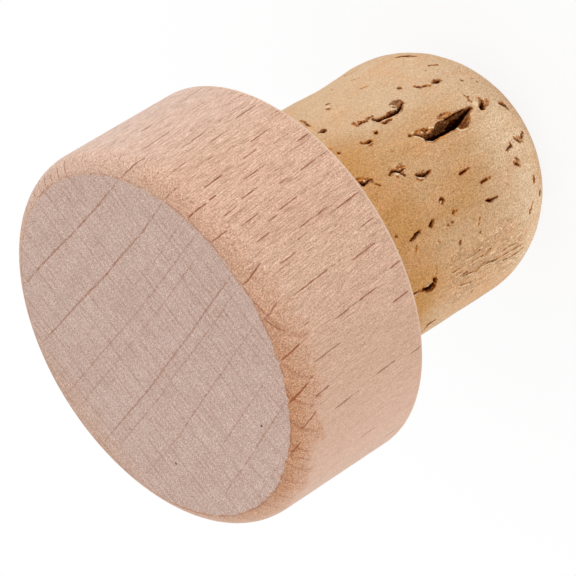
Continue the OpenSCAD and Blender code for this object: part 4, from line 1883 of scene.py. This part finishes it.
    def outline(self) -> Rows:
        """Draws the half section.

        Returns:
            Its points, from the middle of the face to the middle of the socket's floor.
        """
        run_in = math.degrees(math.acos((self.edge_radius - self.edge_width) / self.edge_radius))
        centre = (
            self.radius - self.edge_radius,
            self.top - self.edge_radius * math.sin(math.radians(run_in)),
        )
        socket_top = self.underside + self.socket_depth
        return (
            (0, self.top),
            *arc(centre, self.edge_radius, run_in, 0),
            (self.radius, self.underside + self.arris),
            (self.radius - self.arris, self.underside),
            (self.mouth_radius, self.underside),
            (self.socket_radius, self.underside + self.mouth_radius - self.socket_radius),
            (self.socket_radius, socket_top),
            (0, socket_top),
        )

    @functools.cached_property
    def rays(self) -> list[Ray]:
        """Every ray that comes out at the skin.

        Returns:
            The rays on the side, the round-over and the face, then those on the back.
        """
        made = [self._fleck(*row) for row in self.flecks]
        made += [self._edge_ray(*row[:2], np.array(row[2:])) for row in self.edge_strokes]
        for strength, *points in self.face_rays:
            path = np.array([self._on_face(*point) for point in points])
            made.append(self.face_kind.ray(path, strength))
        return made + self._back_rays()

    @functools.cached_property
    def dots(self) -> list[Ray]:
        """Every speck, as a short ray.

        Returns:
            The specks.
        """
        (along, across), made = self.speck_step, []
        for a, b, width in self.specks:
            ends = self._on_face(a, b), self._on_face(a + along, b + across)
            made.append(Ray(np.array(ends), width, 1))
        return made

    def _fleck(self, angle: float, high: float, low: float, strength: float) -> Ray:
        """Ray on the side.

        Args:
            angle: Angle of its middle.
            high: Drop of its upper end from the face.
            low: Drop of its lower end.
            strength: How dark it is.

        Returns:
            The ray, leaning as the fibres do.
        """
        lean = math.tan(math.radians(self.finish.fibre_lean))
        shift = (low - high) * lean / self.radius / 2
        radius, turn = self.radius, math.radians(angle)
        path = [
            (radius * math.cos(turn + s), radius * math.sin(turn + s), self.top - drop)
            for drop, s in ((high, -shift), ((high + low) / 2, 0), (low, shift))
        ]
        return self.side_kind.ray(np.array(path), strength)

    def _edge_ray(self, strength: float, width: float, points: np.ndarray) -> Ray:
        """Ray on the round-over.

        Args:
            strength: How dark it is.
            width: Its width.
            points: Its corners, one row each, as (angle, distance past the face's rim).

        Returns:
            The ray, bent round the edge.
        """
        steps = np.linspace(0, len(points) - 1, 8 * len(points) - 7)
        angle, past = (np.interp(steps, range(len(points)), column) for column in points.T)
        path = self.skin.points(self.skin.places(angle, self.face_radius + past))
        return Ray(path, width, strength)

    def _back_rays(self) -> list[Ray]:
        """Spreads rays over the side and the round-over at the back, without a pattern.

        Returns:
            The rays.
        """
        made = []
        start, sweep = self.back
        for n in range(1, self.back_flecks + 1):
            first, second, third = n * GOLDEN % 1, n * SECOND % 1, n * THIRD % 1
            # From just below the round-over down to the arris
            high = 1.8 + 8.5 * second
            low = min(12.3, high + 0.9 + 2.2 * third)
            strength = 0.35 + 0.5 * (third * 7 % 1)
            made.append(self._fleck(start + sweep * first, high, low, strength))
            if n % 4 == 0:
                angle = start + sweep * second + np.array([0, 1.2, 2.2 + third])
                drop = self.face_radius + np.array([0.1, 0.8, 1.3 + third])
                path = self.skin.points(self.skin.places(angle, drop))
                made.append(Ray(path, 0.12, 0.5 + 0.3 * first))
        return made

    def _on_face(self, along: float, across: float) -> tuple[float, float, float]:
        """Finds a place on the face.

        Args:
            along: Distance from the axis along the rays.
            across: Distance from the axis across them.

        Returns:
            The place in mm.
        """
        turn = math.radians(self.finish.ray_angle)
        return (
            along * math.cos(turn) - across * math.sin(turn),
            along * math.sin(turn) + across * math.cos(turn),
            self.top,
        )

    def wanted(self, places: Places) -> np.ndarray:
        """Picks the size of the mesh cells: fine at the rays, coarse below the lower rim.

        Args:
            places: Places on the skin.

        Returns:
            Size in mm at each.
        """
        points = self.skin.points(places)
        wanted = np.where(places.drop <= self.skin.runs[self.rim], *self.plain)
        for ray in self.rays + self.dots:
            where = ray.touched(points)
            wanted[where] = np.minimum(wanted[where], ray.cell)
        return wanted

    def shape(self, relief: Relief) -> None:
        """Sinks the rays and the specks a little.

        Args:
            relief: The skin.
        """
        points = relief.points
        shown = points[:, 2] > self.underside + 0.02
        rough = self.rough.at(points) * self.ray_wander
        for name, group in (("ray", self.rays), ("speck", self.dots)):
            for ray in group:
                where = ray.touched(points)
                where = where[shown[where]]
                inside = ray.inside(points[where]) + rough[where]
                relief.lay(name, where, mark_value(inside, ray.strength))
                relief.sink(where, self.ray_depth * ease(inside, -0.03, 0.05))

    def build(self) -> bpy.types.Object:
        """Builds the head.

        Returns:
            The piece that stands for the head.
        """
        piece = self.turn("wooden_head_turned")
        piece.data.set_sharp_from_angle(angle=math.radians(24))
        recipe = BeechRecipe(self.finish, self.top, self.underside, self.face_radius)
        piece.data.materials.append(recipe.material)
        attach(piece, BODY)
        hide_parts("wooden_head")
        return piece


@dataclass
class GlueBed:
    """Bed of dried glue at the bottom of the socket, out of sight.

    Attributes:
        finish: How the glue looks.
    """

    finish: GlueFinish = field(default_factory=GlueFinish)

    def dress(self) -> bpy.types.Object:
        """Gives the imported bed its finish.

        Returns:
            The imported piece.
        """
        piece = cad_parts["glue_bed"]
        piece.data.materials.clear()
        piece.data.materials.append(self.finish.material())
        return piece


@dataclass(frozen=True)
class SoftBox:
    """Large soft lamp that points at the stopper.

    Attributes:
        name: Name of the lamp.
        azimuth: Direction in which it stands, from +X.
        elevation: Its height above the horizon, as an angle.
        level: What it adds to the light on a surface that faces it.
        size: Length of its sides in mm.
        distance: Its distance from the stopper in mm.
    """

    name: str
    azimuth: float
    elevation: float
    level: float
    size: float = 500
    distance: float = 700

    def hang(self, centre: Vector) -> None:
        """Hangs the lamp.

        Args:
            centre: Point that it faces, in mm.
        """
        turn, rise = math.radians(self.azimuth), math.radians(self.elevation)
        way = Vector(
            (math.cos(turn) * math.cos(rise), math.sin(turn) * math.cos(rise), math.sin(rise))
        )
        lamp = bpy.data.lights.new(self.name, "AREA")
        lamp.shape = "SQUARE"
        lamp.size = self.size * MM
        lamp.energy = self.level * math.pi**2 * (self.distance * MM) ** 2
        held = bpy.data.objects.new(self.name, lamp)
        held.location = (centre + way * self.distance) * MM
        held.rotation_euler = way.to_track_quat("Z", "Y").to_euler()
        bpy.context.scene.collection.objects.link(held)


@dataclass
class Studio:
    """White table, soft light and the camera.

    Attributes:
        eye: Place of the camera in mm.
        aim: Point in the middle of its view.
        roll: How far it is rolled, anticlockwise as it looks.
        focal: Focal length for the sensor's width, both in mm.
        sensor: Width of the sensor.
        sky: Level of the even light from all round.
        table_size: Length of the table's sides.
        table_drop: How far the table lies below the foot.
        shadow: Inner and outer radius between which the table's shadow fades out.
        middle: Point at which the lamps are turned.
        boxes: The lamps.
    """

    eye: tuple[float, float, float] = (177.23, -215.44, 217.19)
    aim: tuple[float, float, float] = (2.53, -5.53, 26.64)
    roll: float = -122.13
    focal: float = 289.75
    sensor: float = 36
    sky: float = 0.73
    table_size: float = 6000
    table_drop: float = 0.02
    shadow: tuple[float, float] = (9, 42)
    middle: tuple[float, float, float] = (0, 0, 18)
    boxes: tuple[SoftBox, ...] = (
        SoftBox("window", 5, 6, 0.43),
        SoftBox("card", -145, 5, 0.31),
        SoftBox("overhead", 60, 70, 0.05),
    )

    def build(self) -> None:
        """Sets up the table, the light and the camera."""
        self._table()
        self._sky()
        for box in self.boxes:
            box.hang(Vector(self.middle))
        self._camera()

    def _table(self) -> None:
        """White table top that shows white to the camera and keeps a faint shadow."""
        half, level = self.table_size / 2 * MM, -self.table_drop * MM
        corners = ((-half, -half), (half, -half), (half, half), (-half, half))
        mesh = bpy.data.meshes.new("table_top")
        mesh.from_pydata([(x, y, level) for x, y in corners], [], [(0, 1, 2, 3)])
        table = bpy.data.objects.new("table_top", mesh)
        bpy.context.scene.collection.objects.link(table)
        make = Recipe("white_table", (0.985, 0.985, 0.985, 1))
        make.coat({"Roughness": 0.9})
        glow = make.node("Emission", {"Strength": 1})
        path = make.node("LightPath")
        seen = make.maths("MAXIMUM", path.outputs["Is Camera Ray"], path.outputs["Is Glossy Ray"])
        share = make.product(seen, make.line(make.away(make.place), self.shadow, (0.88, 1.0)))
        shaders = {0: share, 1: make.surface.outputs[0], 2: glow.outputs[0]}
        both = make.node("MixShader", shaders)
        make.fill(make.tree.nodes["Material Output"], {"Surface": both.outputs[0]})
        mesh.materials.append(make.material)

    def _sky(self) -> None:
        """Even white light, which shows pure white to the camera."""
        world = bpy.data.worlds.new("white_room")
        world.use_nodes = True
        tree = world.node_tree
        light, white = tree.nodes["Background"], tree.nodes.new("ShaderNodeBackground")
        for node, level in ((light, self.sky), (white, 1)):
            node.inputs["Strength"].default_value = level
            node.inputs["Color"].default_value = (1, 1, 1, 1)
        path = tree.nodes.new("ShaderNodeLightPath")
        both = tree.nodes.new("ShaderNodeMixShader")
        tree.links.new(path.outputs["Is Camera Ray"], both.inputs[0])
        tree.links.new(light.outputs[0], both.inputs[1])
        tree.links.new(white.outputs[0], both.inputs[2])
        tree.links.new(both.outputs[0], tree.nodes["World Output"].inputs["Surface"])
        bpy.context.scene.world = world

    def _camera(self) -> None:
        """Camera at the angle from which the stopper is shown."""
        eye, aim = Vector(self.eye), Vector(self.aim)
        back = (eye - aim).normalized()
        right = Vector((0, 0, 1)).cross(back).normalized()
        upright = Matrix((right, back.cross(right), back)).transposed()
        turned = upright @ Matrix.Rotation(math.radians(self.roll), 3, "Z")
        lens = bpy.data.cameras.new("camera")
        lens.sensor_width = self.sensor
        lens.lens = self.focal
        lens.clip_start, lens.clip_end = 0.01, 20
        camera = bpy.data.objects.new("camera", lens)
        camera.matrix_world = Matrix.Translation(eye * MM) @ turned.to_4x4()
        bpy.context.scene.collection.objects.link(camera)
        bpy.context.scene.camera = camera


def main() -> None:
    """Builds the studio and the stopper in it."""
    logging.basicConfig(level=logging.INFO, format="%(name)s: %(message)s")
    bpy.context.scene.view_settings.view_transform = "Standard"
    Studio().build()
    cork, head = CorkPlug.from_frame(), WoodenHead.from_frame()
    for piece in (cork.build(), head.build(), GlueBed().dress()):
        log.info("%s: %d faces", piece.name, len(piece.data.polygons))


if __name__ == "__main__":
    main()
